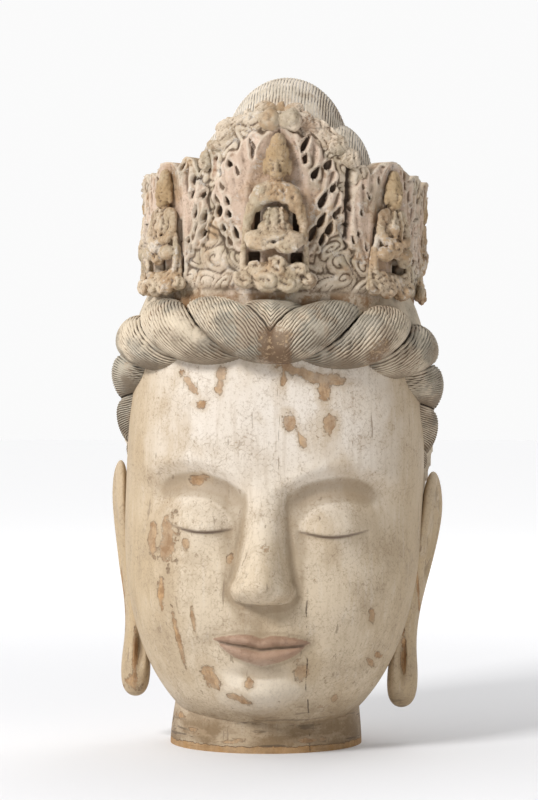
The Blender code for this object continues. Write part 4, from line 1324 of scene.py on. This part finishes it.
def figure_relief(across, out, up, chin):
    """Relief in metres over a fused figure: its features, hair, collar folds and wear."""
    a = np.abs(across)
    k = up - chin
    features = 1.3 * bump_at(a, 0, 1.3) * smooth_step(5.6, 7.0, k) * smooth_step(15.0, 9.0, k)
    features -= 1.0 * bump_at(a, 4.2, 2.5) * bump_at(k, 13.0, 1.5)
    features += 0.6 * bump_at(a, 4.2, 2.0) * bump_at(k, 11.6, 0.9)
    features -= 0.8 * bump_at(a, 0, 3.2) * bump_at(k, 4.7, 0.7)
    features -= 0.5 * bump_at(a, 3.0, 1.3) * bump_at(k, 7.5, 2.5)
    features *= smooth_step(13.0, 16.0, out) * smooth_step(7.5, 6.0, a)
    folds = np.sin(2 * math.pi * np.arctan2(across, 112 - up) / 0.17)
    folds *= smooth_step(91, 86, up) * smooth_step(66, 72, up)
    hair = np.sin(2 * math.pi * across / 2.2) * smooth_step(18, 20, k)
    wear = np.sin(across * 0.9 + 2 * np.sin(up * 0.31)) * np.sin(up * 0.7 + out * 0.5)
    wear += 0.7 * np.sin(across * 2.3 + 3 * np.sin(up * 0.9)) * np.sin(up * 2.1 + out * 1.7)
    return 0.00022 * folds + 0.00018 * hair + 0.0008 * features + 0.00026 * wear


def seated_figure(name, bearing_deg, tall, proud_share):
    """A small figure on its seat of clouds. The near left one sits lower and further round."""
    moved = bearing_deg == -SIDE_PANEL_DEG
    turned = bearing_deg - moved * LEFT_FIGURE_TURN_DEG
    place = panel_place(turned, FIGURE_FOOT_Z - moved * LEFT_FIGURE_DROP)
    clay = Clay()
    cloud_seat(clay, int(bearing_deg) + 200)
    if bearing_deg == 0:
        chin = CENTRE_CHIN
        mantled_body(clay)
    else:
        chin = SIDE_CHIN
        robed_body(clay, 4 if bearing_deg > 0 else -1)
    small_head(clay, chin)
    part = tall / FIGURE_PARTS
    figure = clay.block(name, np.array([1.0, proud_share, 1.0]) * part, place)
    fuse(figure, FIGURE_GRAIN, 2)
    figure.data.update()
    to_panel = place.inverted()
    spots = points_of(figure.data) @ np.array(to_panel.to_3x3()).T + np.array(to_panel.translation)
    across, out, up = (spots / part).T
    proud = figure_relief(across, out, up, chin)[:, None]
    place_points(figure.data, points_of(figure.data) + normals_of(figure.data) * proud)
    write_field(figure, "head", smooth_step(chin - 3, chin + 1, up - 0.25 * np.abs(across)))
    return figure


figure_paint = crown_finish("painted_figures", (0.56, 0.455, 0.33), (0.38, 0.285, 0.18), 0.35, 0.25)
figure_places = [("figure_front", 0.0, CENTRE_FIGURE_HEIGHT, 1.0)]
for side, hand in (("left", -1), ("right", 1)):
    figure_places.append((f"figure_{side}", hand * SIDE_PANEL_DEG, SIDE_FIGURE_HEIGHT, 0.85))
    figure_places.append((f"figure_far_{side}", hand * FLANK_PANEL_DEG, FLANK_FIGURE_HEIGHT, 0.5))
for name, bearing_deg, tall, proud_share in figure_places:
    figure = seated_figure(name, bearing_deg, tall, proud_share)
    close_up(figure)
    lean(figure)
    keep(figure, figure_paint, 8, 60)

# The cloud curls of the crown
# Curls of cloud along the edge of the front mound, two large ones in the middle and a worn tail on
# each side. Each is a knob cut with a shallow spiral.


def curl_form(turn, tilt):
    """A flattened knob with a shallow spiral groove on its outer face."""
    ring = np.cos(tilt)
    ring = ring * (1 + 0.07 * np.sin(3 * turn + 1) + 0.05 * np.sin(5 * turn))
    x = ring * np.sin(turn)
    y = -ring * np.cos(turn)
    groove = np.abs(np.sin(math.pi * (ring * 1.1 - turn / (2 * math.pi)))) ** 1.1
    z = np.sin(tilt) * (0.66 - 0.22 * (1 - groove) * smooth_step(0.05, 0.3, np.sin(tilt)))
    return np.stack([x, y, z], axis=-1), {}


def cloud_tree(curl):
    """Geometry nodes that set knobs along a line, facing away from the crown's axis."""
    sockets = {"Geometry": "Geometry", "Size": "Float", "Unevenness": "Float"}
    sockets.update({"Count": "Int", "Seed": "Int", "Material": "Material"})
    tree, wires = start_tree("cloud_bank", **sockets)
    line, size, uneven, count, seed, material = wires
    curve = add_node(tree, "GeometryNodeMeshToCurve", {}, {"Mesh": line})
    points = add_node(tree, "GeometryNodeResampleCurve", {}, {"Curve": curve, "Count": count})
    place = add_node(tree, "GeometryNodeInputPosition", {}, {})
    values = {0: place, 1: (0.0, AXIS_Y, 0.0)}
    away = add_node(tree, "ShaderNodeVectorMath", {"operation": "SUBTRACT"}, values)
    values = {0: away, 1: (1.0, 1.0, 0.0)}
    level = add_node(tree, "ShaderNodeVectorMath", {"operation": "MULTIPLY"}, values)
    facing = add_node(tree, "FunctionNodeAlignRotationToVector", {"axis": "Z"}, {"Vector": level})
    values = {0: (0.0, 0.0, 0.0), 1: (0.0, 0.0, 6.28), "Seed": seed}
    spin = add_node(tree, "FunctionNodeRandomValue", {"data_type": "FLOAT_VECTOR"}, values)
    spin = add_node(tree, "FunctionNodeEulerToRotation", {}, {0: spin})
    values = {0: facing, 1: spin}
    turned = add_node(tree, "FunctionNodeRotateRotation", {"rotation_space": "LOCAL"}, values)
    values = {0: 1.0 - uneven, 1: 1.0 - uneven, 2: 1.0 - uneven}
    narrow = add_node(tree, "ShaderNodeCombineXYZ", {}, values)
    wide = add_node(tree, "ShaderNodeCombineXYZ", {}, {0: 1.0 + uneven, 1: 1.0 + uneven, 2: 1.0})
    values = {0: narrow, 1: wide, "Seed": seed + 50}
    varied = add_node(tree, "FunctionNodeRandomValue", {"data_type": "FLOAT_VECTOR"}, values)
    values = {0: varied, "Scale": size}
    scale = add_node(tree, "ShaderNodeVectorMath", {"operation": "SCALE"}, values)
    shape = add_node(tree, "GeometryNodeObjectInfo", {}, {"Object": curl}, "Geometry")
    values = {"Points": points, "Instance": shape, "Rotation": turned, "Scale": scale}
    knobs = add_node(tree, "GeometryNodeInstanceOnPoints", {}, values)
    return end_tree(tree, knobs, material)


def crown_line(name, bearings_deg, heights, out):
    """A row of linked points on the crown, for the knobs to follow."""
    bm = bmesh.new()
    spots = crown_point(np.radians(bearings_deg), np.asarray(heights, float), out)
    verts = [bm.verts.new(spot) for spot in spots]
    for first, second in zip(verts, verts[1:]):
        bm.edges.new((first, second))
    return object_from(bm, name)


curl = from_sheet("curl", 40, 36, curl_form)
close_up(curl)
clouds = cloud_tree(curl)
WORN_CURL = 0.92
# Each bank: bearings in degrees, heights, metres proud of the wall, knobs, their size, unevenness.
BANKS = (
    ((-3.9, 4.3), (0.5105, 0.5105), 0.0045, 2, 0.0092, 0.03),
    ((-6.0, 6.0), (0.519, 0.518), -0.002, 3, 0.0066, 0.45),
    ((-9.0, -14.0, -20.0), (0.513, 0.513, 0.507), 0.000, 4, 0.0064, 0.40),
    ((-11.0, -18.0, -23.0), (0.503, 0.500, 0.491), -0.001, 4, 0.0052, 0.45),
    ((-22.0, -27.0, -31.0), (0.502, 0.489, 0.478), 0.001, 3, 0.0074, 0.35),
    ((10.0, 15.0, 21.0), (0.512, 0.506, 0.497), 0.001, 4, 0.0058, 0.40),
    ((11.0, 18.0, 24.0), (0.501, 0.494, 0.484), -0.001, 4, 0.0048, 0.45),
    ((23.5, 29.0), (0.493, 0.483), 0.003, 2, 0.0078, 0.25),
)
cloud_bm = bmesh.new()
for index, (bearings, heights, out, count, size, uneven) in enumerate(BANKS):
    size *= 1.0 if index == 0 else WORN_CURL
    line = crown_line("crest", bearings, heights, out)
    run_nodes(
        line, clouds, Size=size, Unevenness=uneven, Count=count, Seed=index, Material=crown_paint
    )
    cloud_bm.from_mesh(line.data)
    bpy.data.objects.remove(line)
bpy.data.objects.remove(curl)
knobs = object_from(cloud_bm, "crown_clouds")
fuse(knobs, FIGURE_GRAIN, 4)
knobs.data.update()
# Wear in millimetres. It spares the large curls in the middle of the mound.
spot = points_of(knobs.data) * 1000
wear = np.sin(spot[:, 0] * 0.9 + 2 * np.sin(spot[:, 2] * 0.5)) * np.sin(spot[:, 2] * 0.8 + spot[:, 1])
wear += 0.6 * np.sin(spot[:, 0] * 2.1 + 3 * np.sin(spot[:, 2] * 1.1)) * np.sin(spot[:, 2] * 1.9)
wear *= 0.10 + 0.40 * smooth_step(15.0, 21.0, np.hypot(spot[:, 0], spot[:, 2] - 508))
place_points(knobs.data, (spot + normals_of(knobs.data) * wear[:, None]) / 1000)
close_up(knobs)
lean(knobs)
keep(knobs, crown_paint, 4, 20)

# The studio
# A pale floor that runs out of sight, soft light from the upper left and front, and a long lens.
# The surroundings are dimmer at the front right, which shades that side of the head.
CAMERA_AZIMUTH_DEG = 3.5
CAMERA_DISTANCE = 2.0
CAMERA_HEIGHT = 0.2877
IMAGE_HEIGHT_PIXELS = 800
AIM_ASIDE_PIXELS = 3
METRES_PER_PIXEL = 0.000844
FLOOR_GLOW = 0.40

bpy.ops.mesh.primitive_plane_add(size=30.0)
floor = bpy.context.object
floor.name = "floor"
pale = Finish("floor")
far = pale.add("ShaderNodeVectorMath", {"operation": "LENGTH"}, {0: pale.place}, 1)
glow = pale.mix(far.step(0.2, 2.0), (0.10, 0.10, 0.11), (1.12, 1.12, 1.12))
pale.tree.links.new(glow.socket, pale.shader.inputs["Emission Color"])
pale.shader.inputs["Base Color"].default_value = (0.76, 0.76, 0.77, 1)
pale.shader.inputs["Roughness"].default_value = 0.9
pale.shader.inputs["Emission Strength"].default_value = FLOOR_GLOW
floor.data.materials.append(pale.material)

world = bpy.data.worlds.new("studio")
bpy.context.scene.world = world
world.use_nodes = True
world.node_tree.nodes["Background"].inputs[0].default_value = (1.0, 1.0, 1.0, 1)
bearing_of_light = add_node(world.node_tree, "ShaderNodeTexCoord", {}, {}, "Generated")
values = {0: bearing_of_light, 1: (0.55, -0.835, 0.0)}
towards = add_node(world.node_tree, "ShaderNodeVectorMath", {"operation": "DOT_PRODUCT"}, values, 1)
glow = 0.96 - towards.step(-0.30, 0.45) * 0.78
world.node_tree.links.new(glow.socket, world.node_tree.nodes["Background"].inputs[1])


def soft_light(name, place, size, watts):
    lamp = bpy.data.lights.new(name, "AREA")
    lamp.size = size
    lamp.energy = watts
    light = bpy.data.objects.new(name, lamp)
    bpy.context.scene.collection.objects.link(light)
    light.location = place
    aim = Vector((0, 0, 0.28)) - Vector(place)
    light.rotation_euler = aim.to_track_quat("-Z", "Y").to_euler()


soft_light("key", (-1.35, -1.7, 1.75), 0.6, 56)
soft_light("fill", (1.9, -1.6, 0.7), 1.6, 9)
soft_light("back", (0.6, 1.5, 1.9), 1.2, 10)

azimuth = math.radians(CAMERA_AZIMUTH_DEG)
right = Vector((math.cos(azimuth), math.sin(azimuth), 0))
away = Vector((math.sin(azimuth), -math.cos(azimuth), 0))
target = right * AIM_ASIDE_PIXELS * METRES_PER_PIXEL + Vector((0, 0, CAMERA_HEIGHT))
camera_data = bpy.data.cameras.new("camera")
camera_data.sensor_fit = "VERTICAL"
camera_data.angle = 2 * math.atan(IMAGE_HEIGHT_PIXELS / 2 * METRES_PER_PIXEL / CAMERA_DISTANCE)
camera = bpy.data.objects.new("camera", camera_data)
bpy.context.scene.collection.objects.link(camera)
camera.location = target + away * CAMERA_DISTANCE
camera.rotation_euler = (-away).to_track_quat("-Z", "Y").to_euler()
bpy.context.scene.camera = camera
bpy.context.scene.view_settings.view_transform = "Standard"
